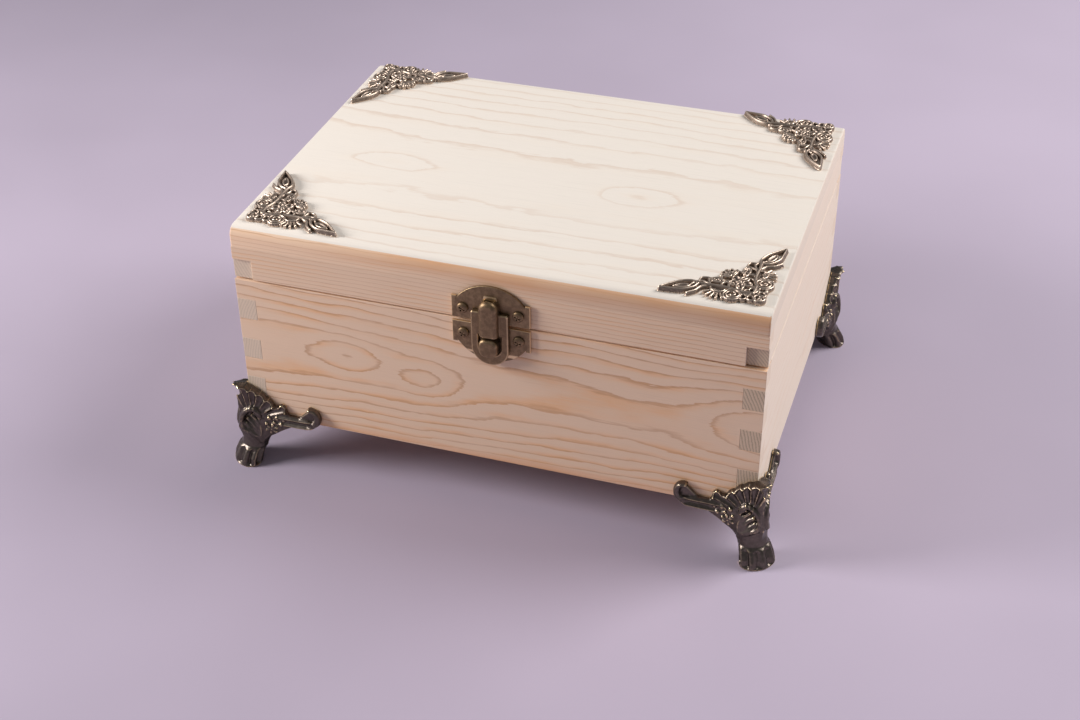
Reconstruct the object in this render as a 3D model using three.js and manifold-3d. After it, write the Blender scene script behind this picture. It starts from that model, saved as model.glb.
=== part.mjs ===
// A small wooden storage box with finger-jointed corners, a hinged lid, a hasp latch,
// four pierced corner ornaments and four cast corner feet. Millimetres, +Z up. The origin
// lies on the surface that the box stands on, under its middle. The front faces -Y.
import * as THREE from 'three';
import { mergeVertices } from 'three/addons/utils/BufferGeometryUtils.js';
import Module from 'manifold-3d';

const wasm = await Module();
wasm.setup();

// Wooden box
const box_length = 200;
const box_width = 146;
const body_height = 62;
const lid_height = 21.3;
const board_thickness = 7.5;
const top_panel_thickness = 8;
const top_edge_radius = 4;
const bottom_panel_thickness = 5;
const bottom_panel_rise = 3;
const groove_depth = 2.2;
const finger_count = 7;
const lid_finger_height = 7.9;
const right_finger_recess = 1.5;
const left_finger_recess = 0.7;

// Clearances and cuts
const parting_gap = 0.3;
const joint_gap = 0.3;
const seat_gap = 0.3;
const overrun = 2;
const weld = 0.0001;
const sliver = 0.01;

// Screws
const screw_shank_radius = 0.8;
const screw_head_radius = 2.1;
const screw_head_height = 1.1;
const screw_rim_share = 0.35;
const screw_crown_share = 0.6;
const short_screw_length = 5.2;
const long_screw_length = 12;

// Corner feet
const foot_height = 21;
const foot_wing = 17;
const foot_fan_rise = 16.5;
const foot_wing_rise = 5.4;
const foot_thickness = 2.3;
const foot_scallop = 0.9;
const foot_flute = 0.45;
const foot_arm_reach = 32;
const foot_hook_rise = 7.8;
const foot_arm_thickness = 2.8;
const foot_ledge = 21;
const foot_ledge_thickness = 1.9;
const foot_ledge_land = 6;
const foot_screw_from_corner = 15;
const foot_screw_from_face = 3.3;
const foot_toe_width = 14.8;
const foot_toe_depth = 10;
const foot_toe_splay = 3.8;

// Corner ornaments
const ornament_leg = 36.5;
const ornament_sheet = 1.2;
const ornament_relief = 0.8;
const ornament_side_inset = 4.5;
const ornament_front_inset = 6.5;
const ornament_back_inset = 4.5;

// Latch
const latch_offset = 1;
const plate_thickness = 1;
const plate_half_width = 14.7;
const plate_ear_width = 1.9;
const plate_ear_step = 0.7;
const upper_plate_side = 9.1;
const upper_plate_height = 15;
const lower_plate_side = 9;
const lower_plate_height = 15.2;
const plate_margin = 0.5;
const plate_screw_spacing = 20.8;
const plate_screw_from_edge = 4.6;
const latch_pivot_height = 8.9;
const latch_pivot_stand = 2.2;
const latch_pin_radius = 0.6;
const latch_pin_clearance = 0.15;
const latch_barrel_radius = 1.9;
const latch_lug_radius = 1.15;
const latch_lug_width = 4;
const latch_lug_rise = 4;
const latch_lug_root = 0.7;
const flap_half_width = 7;
const flap_shoulder_drop = 3.5;
const flap_length = 25.5;
const flap_thickness = 1.5;
const flap_corner_radius = 0.8;
const flap_side_band = 2.7;
const flap_end_band = 3.8;
const hood_half_width = 3.5;
const hood_length = 12.9;
const hood_corner_radius = 1.7;
const hood_wall = 0.7;
const knob_height = 4.4;
const knob_corner_radius = 2.5;
const knob_edge_radius = 0.9;
const knob_clearance = 0.8;
const knob_tenon_radius = 1.5;

// Hinges
const hinge_spacing = 116;
const hinge_width = 24;
const hinge_leaf_height = 11;
const hinge_leaf_thickness = 1;
const hinge_barrel_radius = 1.9;
const hinge_pin_radius = 0.9;
const hinge_pin_clearance = 0.15;
const hinge_screw_spread_share = 0.625;
const hinge_screw_from_end = 4;

// Facet counts
const round_sides = 12;
const small_sides = 8;
const curve_steps = 4;

// Sizes that follow from the ones above
const finger_pitch = body_height / finger_count;
const rail_height = lid_height - top_panel_thickness;
const inside_length = box_length - 2 * board_thickness;
const inside_width = box_width - 2 * board_thickness;
const panel_length = inside_length + 2 * groove_depth;
const panel_width = inside_width + 2 * groove_depth;
const screw_hole_radius = screw_shank_radius + seat_gap;
const hinge_screw_spacing = hinge_width * hinge_screw_spread_share;
const hinge_axis_stand = seat_gap + hinge_barrel_radius;
const flap_window_end = flap_length - flap_end_band;
const flap_window_half = flap_half_width - flap_side_band;

// Finishes
const paleWood = new THREE.MeshStandardMaterial({ color: 0xe8d3b8, roughness: 0.75, metalness: 0 });
const warmWood = new THREE.MeshStandardMaterial({ color: 0xcfa988, roughness: 0.75, metalness: 0 });
const plywood = new THREE.MeshStandardMaterial({ color: 0xdcc3a0, roughness: 0.8, metalness: 0 });
const bronze = new THREE.MeshStandardMaterial({ color: 0x3a322c, roughness: 0.4, metalness: 0.9 });
const filigree = new THREE.MeshStandardMaterial({ color: 0x6d5e55, roughness: 0.45, metalness: 0.9 });
const brass = new THREE.MeshStandardMaterial({ color: 0x6e5a42, roughness: 0.4, metalness: 0.9 });

// Solids
function toSolid(geometry) {
  const bare = geometry.clone();
  bare.deleteAttribute('normal');
  bare.deleteAttribute('uv');
  const merged = mergeVertices(bare, weld);
  return new wasm.Manifold(new wasm.Mesh({
    numProp: 3,
    vertProperties: new Float32Array(merged.attributes.position.array),
    triVerts: new Uint32Array(merged.index.array),
  }));
}

function toGeometry(solid) {
  const mesh = solid.asOriginal().simplify(sliver).getMesh();
  const geometry = new THREE.BufferGeometry();
  geometry.setAttribute('position', new THREE.BufferAttribute(mesh.vertProperties, mesh.numProp));
  geometry.setIndex(new THREE.BufferAttribute(mesh.triVerts, 1));
  geometry.computeVertexNormals();
  return geometry;
}

function joined(solids) {
  return solids.reduce((whole, piece) => whole.add(piece));
}

function block(x, y, z) {
  const geometry = new THREE.BoxGeometry(x[1] - x[0], y[1] - y[0], z[1] - z[0]);
  geometry.translate((x[0] + x[1]) / 2, (y[0] + y[1]) / 2, (z[0] + z[1]) / 2);
  return toSolid(geometry);
}

// A round bar from one point to another.
function bar(from, to, radius, sides = small_sides) {
  const start = new THREE.Vector3(...from);
  const span = new THREE.Vector3(...to).sub(start);
  const geometry = new THREE.CylinderGeometry(radius, radius, span.length(), sides);
  const turn = new THREE.Quaternion().setFromUnitVectors(
    new THREE.Vector3(0, 1, 0),
    span.clone().normalize(),
  );
  geometry.applyQuaternion(turn);
  const middle = start.addScaledVector(span, 0.5);
  geometry.translate(middle.x, middle.y, middle.z);
  return toSolid(geometry);
}

// Turns a flat shape into a plate. The shape's x and y and the plate's depth run along the
// three directions given.
const direction = {
  right: new THREE.Vector3(1, 0, 0),
  back: new THREE.Vector3(0, 1, 0),
  front: new THREE.Vector3(0, -1, 0),
  up: new THREE.Vector3(0, 0, 1),
};

function plate(shape, depth, steps = curve_steps, across = direction.right, along = direction.up) {
  const geometry = new THREE.ExtrudeGeometry(shape, { depth, bevelEnabled: false, curveSegments: steps });
  const out = new THREE.Vector3().crossVectors(across, along);
  geometry.applyMatrix4(new THREE.Matrix4().makeBasis(across, along, out));
  return toSolid(geometry);
}

function flatPlate(shape, depth, steps = curve_steps) {
  return plate(shape, depth, steps, direction.right, direction.back);
}

// Joins stacked rings of points into one closed solid.
function loft(rings) {
  const count = rings[0].length;
  const positions = rings.flat(2);
  const index = [];
  for (let ring = 0; ring + 1 < rings.length; ring += 1) {
    for (let point = 0; point < count; point += 1) {
      const a = ring * count + point;
      const b = ring * count + ((point + 1) % count);
      index.push(a, b, b + count, a, b + count, a + count);
    }
  }
  const cap = (ring) => {
    const face = bestPlane(rings[ring]);
    return THREE.ShapeUtils.triangulateShape(face, []).map((corner) => corner.map((p) => p + ring * count));
  };
  cap(0).forEach((corner) => index.push(corner[0], corner[2], corner[1]));
  cap(rings.length - 1).forEach((corner) => index.push(corner[0], corner[1], corner[2]));
  const geometry = new THREE.BufferGeometry();
  geometry.setAttribute('position', new THREE.Float32BufferAttribute(positions, 3));
  geometry.setIndex(index);
  return toSolid(geometry);
}

// The points of a flat ring in two coordinates of its own plane.
function bestPlane(ring) {
  const points = ring.map((p) => new THREE.Vector3(...p));
  const normal = new THREE.Vector3();
  points.forEach((p, at) => {
    const next = points[(at + 1) % points.length];
    normal.x += (p.y - next.y) * (p.z + next.z);
    normal.y += (p.z - next.z) * (p.x + next.x);
    normal.z += (p.x - next.x) * (p.y + next.y);
  });
  normal.normalize();
  const along = points[1].clone().sub(points[0]).normalize();
  const across = normal.clone().cross(along);
  return points.map((p) => new THREE.Vector2(p.dot(along), p.dot(across)));
}

function mesh(name, solid, material) {
  const result = new THREE.Mesh(toGeometry(solid), material);
  result.name = name;
  return result;
}

function place(object, x, y, z, turn = 0) {
  object.position.set(x, y, z);
  object.rotation.z = turn;
  return object;
}

// A wall or rail of a finger-jointed frame, along x, its outer face at y = 0 towards -y and
// its bottom at z = 0. The ends are notched in the height ranges given.
function fingerBoard(length, height, notches) {
  let board = block([-length / 2, length / 2], [0, board_thickness], [0, height]);
  const root = length / 2 - board_thickness - joint_gap;
  for (const [low, high] of notches) {
    for (const side of [-1, 1]) {
      const reach = [side * root, side * (length / 2 + overrun)].sort((a, b) => a - b);
      board = board.subtract(block(reach, [-overrun, board_thickness + overrun], [low, high]));
    }
  }
  return board;
}

// The height ranges that the neighbour's fingers fill, from the first one given.
function bodyNotches(first) {
  const notches = [];
  for (let slot = first; slot < finger_count; slot += 2) {
    const low = slot === 0 ? -overrun : slot * finger_pitch - joint_gap / 2;
    const last = slot === finger_count - 1;
    const high = last ? body_height + overrun : (slot + 1) * finger_pitch + joint_gap / 2;
    notches.push([low, high]);
  }
  return notches;
}

function panelGroove(length) {
  return block(
    [-length / 2 - joint_gap, length / 2 + joint_gap],
    [board_thickness - groove_depth - joint_gap, board_thickness + overrun],
    [bottom_panel_rise - joint_gap, bottom_panel_rise + bottom_panel_thickness + joint_gap],
  );
}

function faceHole(x, z) {
  return bar([x, -overrun, z], [x, short_screw_length - plate_thickness, z], screw_hole_radius);
}

function footHole(length, side) {
  const x = side * (length / 2 - foot_screw_from_corner);
  const depth = long_screw_length - foot_ledge_thickness;
  return bar([x, foot_screw_from_face, -overrun], [x, foot_screw_from_face, depth], screw_hole_radius);
}

// Where the screws of the latch and the hinges go, measured from the parting line.
const latch_screw_x = [-plate_screw_spacing / 2, plate_screw_spacing / 2];
const upper_screw_rise = plate_margin + plate_screw_from_edge;
const lower_screw_drop = plate_margin + plate_screw_from_edge;
const hinge_screw_rise = hinge_leaf_height - hinge_screw_from_end;
const hinge_screw_x = [-1, 1].flatMap((hinge) => [-1, 1].map(
  (screw) => (hinge * hinge_spacing + screw * hinge_screw_spacing) / 2,
));

function bodyWall(length, firstNotch, panel, holes) {
  let wall = fingerBoard(length, body_height, bodyNotches(firstNotch)).subtract(panelGroove(panel));
  for (const side of [-1, 1]) {
    wall = wall.subtract(footHole(length, side));
  }
  for (const [x, z] of holes) {
    wall = wall.subtract(faceHole(x, z));
  }
  return wall;
}

function buildBody() {
  const body = new THREE.Group();
  const latchHoles = latch_screw_x.map((x) => [latch_offset + x, body_height - lower_screw_drop]);
  const hingeHoles = hinge_screw_x.map((x) => [x, body_height - hinge_screw_rise]);
  const front = bodyWall(box_length, 1, panel_length, latchHoles);
  const back = bodyWall(box_length, 1, panel_length, hingeHoles);
  const left = bodyWall(box_width, 0, panel_width, []);
  const right = bodyWall(box_width, 0, panel_width, []);
  body.add(place(mesh('base_front_board', front, warmWood), 0, -box_width / 2, 0));
  body.add(place(mesh('base_back_board', back, warmWood), 0, box_width / 2, 0, Math.PI));
  body.add(place(mesh('base_left_board', left, paleWood), -box_length / 2, 0, 0, -Math.PI / 2));
  body.add(place(mesh('base_right_board', right, paleWood), box_length / 2, 0, 0, Math.PI / 2));
  const panel = block(
    [-panel_length / 2, panel_length / 2],
    [-panel_width / 2, panel_width / 2],
    [0, bottom_panel_thickness],
  );
  body.add(place(mesh('base_bottom_panel', panel, plywood), 0, 0, bottom_panel_rise));
  return body;
}

// The lid's rails. A long rail is notched low at its ends, and a side rail high, and a side
// rail's finger stops short of the long rail's face.
function longRail(holes) {
  const low = [-overrun, lid_finger_height + joint_gap / 2];
  let rail = fingerBoard(box_length, rail_height - joint_gap, [low]);
  for (const [x, z] of holes) {
    rail = rail.subtract(faceHole(x, z));
  }
  return rail;
}

function sideRail(recess) {
  const high = [lid_finger_height - joint_gap / 2, rail_height + overrun];
  const rail = fingerBoard(box_width, rail_height - joint_gap, [high]);
  const keep = box_width / 2 - recess;
  return rail.intersect(block([-keep, keep], [-overrun, board_thickness + overrun], [-overrun, rail_height]));
}

function topPanel() {
  const half = box_width / 2;
  const edge = top_edge_radius;
  const shape = new THREE.Shape();
  shape.moveTo(-half, 0);
  shape.lineTo(half, 0);
  shape.lineTo(half, top_panel_thickness - edge);
  shape.absarc(half - edge, top_panel_thickness - edge, edge, 0, Math.PI / 2, false);
  shape.lineTo(-half + edge, top_panel_thickness);
  shape.absarc(-half + edge, top_panel_thickness - edge, edge, Math.PI / 2, Math.PI, false);
  shape.closePath();
  return plate(shape, box_length, curve_steps, direction.back, direction.up);
}

function buildLid() {
  const lid = new THREE.Group();
  const latchHoles = latch_screw_x.map((x) => [latch_offset + x, upper_screw_rise]);
  const hingeHoles = hinge_screw_x.map((x) => [x, hinge_screw_rise]);
  const front = mesh('lid_front_rail', longRail(latchHoles), warmWood);
  const back = mesh('lid_back_rail', longRail(hingeHoles), warmWood);
  const left = mesh('lid_left_rail', sideRail(left_finger_recess), paleWood);
  const right = mesh('lid_right_rail', sideRail(right_finger_recess), paleWood);
  lid.add(place(front, 0, -box_width / 2, 0));
  lid.add(place(back, 0, box_width / 2, 0, Math.PI));
  lid.add(place(left, -box_length / 2, 0, 0, -Math.PI / 2));
  lid.add(place(right, box_length / 2, 0, 0, Math.PI / 2));
  lid.add(place(mesh('lid_top_panel', topPanel(), paleWood), -box_length / 2, 0, rail_height));
  return lid;
}

// A round-headed screw, pointing along -z from the face that its head sits on.
function screw(length) {
  const tip = screw_shank_radius;
  const profile = [
    new THREE.Vector2(0, -length),
    new THREE.Vector2(screw_shank_radius, -length + tip),
    new THREE.Vector2(screw_shank_radius, 0),
    new THREE.Vector2(screw_head_radius, 0),
    new THREE.Vector2(screw_head_radius, screw_head_height * screw_rim_share),
    new THREE.Vector2(screw_head_radius * screw_crown_share, screw_head_height),
    new THREE.Vector2(0, screw_head_height),
  ];
  const geometry = new THREE.LatheGeometry(profile, small_sides);
  geometry.rotateX(Math.PI / 2);
  return toSolid(geometry);
}

function addScrews(group, prefix, places, length, tilt) {
  places.forEach(([x, y, z], at) => {
    const fastener = place(mesh(`${prefix}_screw_${at + 1}`, screw(length), brass), x, y, z);
    fastener.rotation.x = tilt;
    group.add(fastener);
  });
}

// A corner foot. The box's vertical edge is the z axis, the box lies on the -x and -y side of
// it and its bottom edge is at z = 0. Everything is symmetric about the plane x = y.

// How far the corner's silhouette stands out, by height: the fan flares at its rim, and a
// scroll swells below the box's edge.
const corner_height_shares = [-1, -0.5, -0.25, 0.1, 0.45, 0.72, 0.9, 1];
const corner_stand_shares = [1.2, 1.7, 2.1, 1.6, 1.5, 1.75, 2.05, 2];

function cornerStand(z) {
  const height = z / foot_fan_rise;
  let at = 1;
  while (at < corner_height_shares.length - 1 && height > corner_height_shares[at]) {
    at += 1;
  }
  const low = corner_height_shares[at - 1];
  const high = corner_height_shares[at];
  const part = THREE.MathUtils.clamp((height - low) / (high - low), 0, 1);
  return foot_thickness * THREE.MathUtils.lerp(corner_stand_shares[at - 1], corner_stand_shares[at], part);
}

// The lower edge of the wing, from the arm to the leg, as shares of the foot's height.
const wing_bottom_shares = [-0.24, -0.31, -0.4, -0.5, -0.6];
const flute_count = 4;
const steps_per_flute = 3;
const wing_rows = 5;

function wingRing(part) {
  const flute = Math.abs(Math.sin(part * flute_count * Math.PI));
  const rise = THREE.MathUtils.lerp(foot_wing_rise, foot_fan_rise, part);
  const top = rise - foot_scallop * (1 - flute);
  const reached = part * (wing_bottom_shares.length - 1);
  const first = Math.min(Math.floor(reached), wing_bottom_shares.length - 2);
  const low = wing_bottom_shares[first];
  const high = wing_bottom_shares[first + 1];
  const bottom = foot_height * THREE.MathUtils.lerp(low, high, reached - first);
  const ring = [];
  for (let row = 0; row <= wing_rows; row += 1) {
    const up = row / wing_rows;
    const z = THREE.MathUtils.lerp(bottom, top, up);
    const stand = cornerStand(z);
    const swell = foot_flute * (2 * flute - 1) * up;
    const out = THREE.MathUtils.lerp(foot_thickness, stand, part * part) + swell * (1 - part * part);
    ring.push([THREE.MathUtils.lerp(-foot_wing, stand, part), out, z]);
  }
  const inner = THREE.MathUtils.lerp(-foot_wing, seat_gap, part);
  ring.push([inner, seat_gap, top - foot_scallop]);
  ring.push([inner, seat_gap, bottom]);
  return ring;
}

function footWings() {
  const steps = flute_count * steps_per_flute;
  const rings = [];
  for (let step = 0; step <= steps; step += 1) {
    rings.push(wingRing(step / steps));
  }
  const corner = rings[steps];
  corner.forEach((point) => {
    point[0] = point[1];
  });
  for (let step = steps - 1; step >= 0; step -= 1) {
    rings.push(rings[step].map(([x, y, z]) => [y, x, z]));
  }
  return loft(rings);
}

// The leg and toe, as rings in the diagonal plane: height, middle, half depth along the
// diagonal and half width across it, as shares of the foot's height and the toe's sizes.
const leg_rings_shares = [
  [-1, 1, 0.94, 0.96],
  [-0.96, 1, 1, 1.02],
  [-0.86, 0.85, 0.95, 0.92],
  [-0.74, 0.4, 1, 0.82],
  [-0.6, -0.1, 1.1, 0.82],
  [-0.5, -0.4, 1.2, 0.88],
  [-0.36, -0.5, 1.2, 0.95],
  [-0.06, -0.7, 0.9, 0.9],
];

function footLeg() {
  const rings = leg_rings_shares.map(([height, middle, depth, width]) => {
    const ring = [];
    for (let side = 0; side < round_sides; side += 1) {
      const angle = (side / round_sides) * 2 * Math.PI;
      const along = middle * foot_toe_splay + depth * (foot_toe_depth / 2) * Math.cos(angle);
      const across = width * (foot_toe_width / 2) * Math.sin(angle);
      ring.push([(along - across) / Math.SQRT2, (along + across) / Math.SQRT2, height * foot_height]);
    }
    return ring;
  });
  return loft(rings);
}

// The arm along the box's bottom edge and the hook at its end: where the outline starts, and
// the control point and the end of each curve, in shares of the reach and the hook's rise.
const arm_start_shares = [0.42, -0.6];
const arm_curve_shares = [
  [[0.7, -0.55], [0.94, -0.42]],
  [[1, -0.3], [1, 0.19]],
  [[0.99, 0.96], [0.82, 1]],
  [[0.8, 0.9], [0.81, 0.78]],
  [[0.9, 0.6], [0.88, 0.3]],
  [[0.84, 0.15], [0.74, 0.19]],
  [[0.6, 0.2], [0.42, 0.24]],
];

function footArm() {
  const at = ([along, up]) => [along * foot_arm_reach, up * foot_hook_rise];
  const shape = new THREE.Shape();
  shape.moveTo(...at(arm_start_shares));
  for (const [control, end] of arm_curve_shares) {
    shape.quadraticCurveTo(...at(control), ...at(end));
  }
  shape.closePath();
  return plate(shape, foot_arm_thickness, curve_steps);
}

// Where the two screws go through the ledge.
const foot_screw_places = [
  [-foot_screw_from_corner, -foot_screw_from_face],
  [-foot_screw_from_face, -foot_screw_from_corner],
];

function footLedge() {
  const far = -foot_ledge;
  const edge = foot_thickness / 2;
  const outline = [[edge, edge], [far, edge], [far, -foot_ledge_land], [-foot_ledge_land, far], [edge, far]];
  const shape = new THREE.Shape(outline.map(([x, y]) => new THREE.Vector2(x, y)));
  let ledge = flatPlate(shape, foot_ledge_thickness).translate([0, 0, -seat_gap - foot_ledge_thickness]);
  for (const [x, y] of foot_screw_places) {
    ledge = ledge.subtract(bar([x, y, -foot_height], [x, y, overrun], screw_hole_radius));
  }
  return ledge;
}

function footSolid() {
  const arm = footArm();
  const armAlongX = arm.mirror([1, 0, 0]).translate([0, seat_gap + foot_arm_thickness, 0]);
  const armAlongY = armAlongX.mirror([1, -1, 0]);
  return joined([footWings(), footLeg(), armAlongX, armAlongY, footLedge()]);
}

const corners = [
  { name: 'back_right', x: 1, y: 1, turn: 0 },
  { name: 'back_left', x: -1, y: 1, turn: Math.PI / 2 },
  { name: 'front_left', x: -1, y: -1, turn: Math.PI },
  { name: 'front_right', x: 1, y: -1, turn: -Math.PI / 2 },
];

function buildFeet() {
  const feet = new THREE.Group();
  const solid = footSolid();
  const under = -2 * seat_gap - foot_ledge_thickness;
  for (const { name, x, y, turn } of corners) {
    const corner = place(new THREE.Group(), (x * box_length) / 2, (y * box_width) / 2, 0, turn);
    corner.add(mesh(`foot_${name}`, solid, bronze));
    const places = foot_screw_places.map(([across, along]) => [across, along, under]);
    addScrews(corner, `foot_${name}`, places, long_screw_length, Math.PI);
    feet.add(corner);
  }
  return feet;
}

// A corner ornament, flat, its corner at the origin and its legs along +x and +y. Places
// are shares of the leg, and each one is repeated across the diagonal.
function share([x, y]) {
  return new THREE.Vector2(x * ornament_leg, y * ornament_leg);
}

function leafShape(from, to, width, scale = 1) {
  const middle = from.clone().add(to).multiplyScalar(0.5);
  const start = from.clone().sub(middle).multiplyScalar(scale).add(middle);
  const end = to.clone().sub(middle).multiplyScalar(scale).add(middle);
  const side = end.clone().sub(start);
  side.set(-side.y, side.x).normalize().multiplyScalar(width * scale * ornament_leg * 2);
  const shape = new THREE.Shape();
  shape.moveTo(start.x, start.y);
  shape.quadraticCurveTo(middle.x - side.x, middle.y - side.y, end.x, end.y);
  shape.quadraticCurveTo(middle.x + side.x, middle.y + side.y, start.x, start.y);
  return shape;
}

function discShape(centre, radius) {
  const shape = new THREE.Shape();
  shape.absarc(centre.x, centre.y, radius * ornament_leg, 0, 2 * Math.PI, false);
  return shape;
}

function ribbonShape(places, width) {
  const curve = new THREE.CatmullRomCurve3(places.map((at) => new THREE.Vector3(...share(at).toArray(), 0)));
  const steps = 2 * places.length;
  const left = [];
  const right = [];
  for (let step = 0; step <= steps; step += 1) {
    const point = curve.getPoint(step / steps);
    const along = curve.getTangent(step / steps);
    const reach = (width * ornament_leg) / 2;
    left.push(new THREE.Vector2(point.x - along.y * reach, point.y + along.x * reach));
    right.unshift(new THREE.Vector2(point.x + along.y * reach, point.y - along.x * reach));
  }
  return new THREE.Shape([...left, ...right]);
}

const stem_shares = [[0.1, 0.1], [0.24, 0.15], [0.44, 0.18], [0.68, 0.15]];
const border_shares = [[0.66, 0.17], [0.58, 0.29], [0.43, 0.43]];
const inner_link_shares = [[0.34, 0.16], [0.37, 0.24], [0.32, 0.3]];
const outer_link_shares = [[0.5, 0.18], [0.47, 0.28], [0.36, 0.32]];
const tip_leaf_shares = { from: [0.63, 0.15], to: [1, 0], width: 0.11, slot: 0.5 };
const hook_leaf_shares = { from: [0.61, 0.15], to: [0.75, -0.02], width: 0.032 };
const comb_root_share = [0.47, 0.16];
const comb_tips_shares = [[0.61, 0.05], [0.56, -0.01], [0.49, -0.02], [0.43, 0.02]];
const volute_shares = { centre: [0.33, 0.085], radius: 0.085, eye: 0.045 };
const corner_ring_shares = { centre: [0.15, 0.15], radius: 0.085, hole: 0.04 };
const corner_bud_shares = { centre: [0.055, 0.055], radius: 0.065 };
const corner_side_shares = { centre: [0.18, 0.055], radius: 0.05 };
const flower_shares = { centre: [0.3, 0.3], petal_at: 0.075, petal: 0.055, eye: 0.035 };
const fan_root_share = [0.38, 0.38];
const fan_tips_shares = [[0.54, 0.45], [0.5, 0.5], [0.45, 0.54]];
const leaflet_width_share = 0.028;
const stem_width_share = 0.045;
const link_width_share = 0.032;
const petal_count = 5;

function ornamentHalf() {
  const sheet = ornament_sheet;
  const full = ornament_sheet + ornament_relief;
  const tip = tip_leaf_shares;
  const slot = leafShape(share(tip.from), share(tip.to), tip.width, tip.slot);
  const hook = hook_leaf_shares;
  const solids = [
    flatPlate(leafShape(share(tip.from), share(tip.to), tip.width), full).subtract(
      flatPlate(slot, full + 2 * overrun).translate([0, 0, -overrun]),
    ),
    flatPlate(leafShape(share(hook.from), share(hook.to), hook.width), sheet, curve_steps / 2),
    flatPlate(ribbonShape(stem_shares, stem_width_share), full),
    flatPlate(ribbonShape(border_shares, link_width_share), sheet),
    flatPlate(ribbonShape(inner_link_shares, link_width_share), sheet),
    flatPlate(ribbonShape(outer_link_shares, link_width_share), sheet),
    flatPlate(discShape(share(volute_shares.centre), volute_shares.radius), sheet, curve_steps + 1),
    flatPlate(discShape(share(volute_shares.centre), volute_shares.eye), full, curve_steps / 2),
    flatPlate(discShape(share(corner_side_shares.centre), corner_side_shares.radius), sheet, curve_steps / 2),
  ];
  for (const at of comb_tips_shares) {
    const leaflet = leafShape(share(comb_root_share), share(at), leaflet_width_share);
    solids.push(flatPlate(leaflet, sheet, curve_steps / 2));
  }
  return joined(solids);
}

function ornamentMiddle() {
  const sheet = ornament_sheet;
  const full = ornament_sheet + ornament_relief;
  const flower = flower_shares;
  const solids = [
    flatPlate(discShape(share(flower.centre), flower.eye), full, curve_steps / 2),
    flatPlate(discShape(share(corner_bud_shares.centre), corner_bud_shares.radius), full, curve_steps),
    flatPlate(discShape(share(corner_ring_shares.centre), corner_ring_shares.radius), sheet, curve_steps),
  ];
  for (let petal = 0; petal < petal_count; petal += 1) {
    const angle = Math.PI / 4 + (petal / petal_count) * 2 * Math.PI;
    const at = [
      flower.centre[0] + flower.petal_at * Math.cos(angle),
      flower.centre[1] + flower.petal_at * Math.sin(angle),
    ];
    solids.push(flatPlate(discShape(share(at), flower.petal), sheet, curve_steps / 2));
  }
  for (const at of fan_tips_shares) {
    const leaflet = leafShape(share(fan_root_share), share(at), leaflet_width_share);
    solids.push(flatPlate(leaflet, sheet, curve_steps / 2));
  }
  return joined(solids);
}

function ornamentSolid() {
  const half = ornamentHalf();
  const whole = joined([half, half.mirror([1, -1, 0]), ornamentMiddle()]);
  const ring = corner_ring_shares;
  const through = ornament_sheet + 2 * overrun;
  const eyelet = flatPlate(discShape(share(ring.centre), ring.hole), through, curve_steps / 2);
  return whole.subtract(eyelet.translate([0, 0, -overrun]));
}

function buildOrnaments() {
  const ornaments = new THREE.Group();
  const solid = ornamentSolid();
  for (const { name, x, y, turn } of corners) {
    const inset = y > 0 ? ornament_back_inset : ornament_front_inset;
    const ornament = mesh(`ornament_${name}`, solid, filigree);
    const along = x * (box_length / 2 - ornament_side_inset);
    const across = y * (box_width / 2 - inset);
    ornaments.add(place(ornament, along, across, lid_height + seat_gap, turn + Math.PI));
  }
  return ornaments;
}

// A latch plate: a straight edge at the bottom, two short sides ending in small ears and a
// round crown between them.
function latchPlateShape(side, height) {
  const half = plate_half_width;
  const chord = half - plate_ear_width;
  const spring = side - plate_ear_step;
  const sagitta = height - spring;
  const radius = (chord * chord + sagitta * sagitta) / (2 * sagitta);
  const from = Math.atan2(radius - sagitta, chord);
  const shape = new THREE.Shape();
  shape.moveTo(-half, 0);
  shape.lineTo(half, 0);
  shape.lineTo(half, side);
  shape.lineTo(chord, side);
  shape.absarc(0, height - radius, radius, from, Math.PI - from, false);
  shape.lineTo(-chord, side);
  shape.lineTo(-half, side);
  shape.closePath();
  return shape;
}

function latchPlate(side, height) {
  let sheet = plate(latchPlateShape(side, height), plate_thickness, 2 * curve_steps);
  for (const x of latch_screw_x) {
    const z = plate_screw_from_edge;
    sheet = sheet.subtract(bar([x, overrun, z], [x, -plate_thickness - overrun, z], screw_hole_radius));
  }
  return sheet;
}

// The lug that the flap's pin goes through: it rises from the plate in a slope above the pin
// and ends in a small eye round it. The hood's front turns in the space between them.
function latchLug() {
  const z = latch_pivot_height - plate_margin;
  const stand = plate_thickness + latch_pivot_stand;
  const half = latch_lug_width / 2;
  const eye = bar([-half, -stand, z], [half, -stand, z], latch_lug_radius, round_sides);
  const shape = new THREE.Shape();
  shape.moveTo(-plate_thickness / 2, z - latch_lug_radius);
  shape.lineTo(-stand, z - latch_lug_radius);
  shape.lineTo(-stand, z + latch_lug_radius);
  shape.lineTo(-plate_thickness - latch_lug_root, z + latch_lug_radius);
  shape.lineTo(-plate_thickness, z + latch_lug_rise);
  shape.lineTo(-plate_thickness / 2, z + latch_lug_rise);
  shape.closePath();
  const slope = plate(shape, latch_lug_width, curve_steps, direction.back, direction.up);
  const bore = latch_pin_radius + latch_pin_clearance;
  const cut = bar([-2 * half, -stand, z], [2 * half, -stand, z], bore, round_sides);
  return [eye, slope.translate([-half, 0, 0]), cut];
}

function upperPlate() {
  const [eye, slope, bore] = latchLug();
  return joined([latchPlate(upper_plate_side, upper_plate_height), slope, eye]).subtract(bore);
}

function lowerPlate() {
  const z = knobCentreDrop() - plate_margin;
  const hole = knob_tenon_radius + seat_gap;
  const hanging = latchPlate(lower_plate_side, lower_plate_height).mirror([0, 0, 1]);
  return hanging.subtract(bar([0, overrun, -z], [0, -plate_thickness - overrun, -z], hole, round_sides));
}

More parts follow.
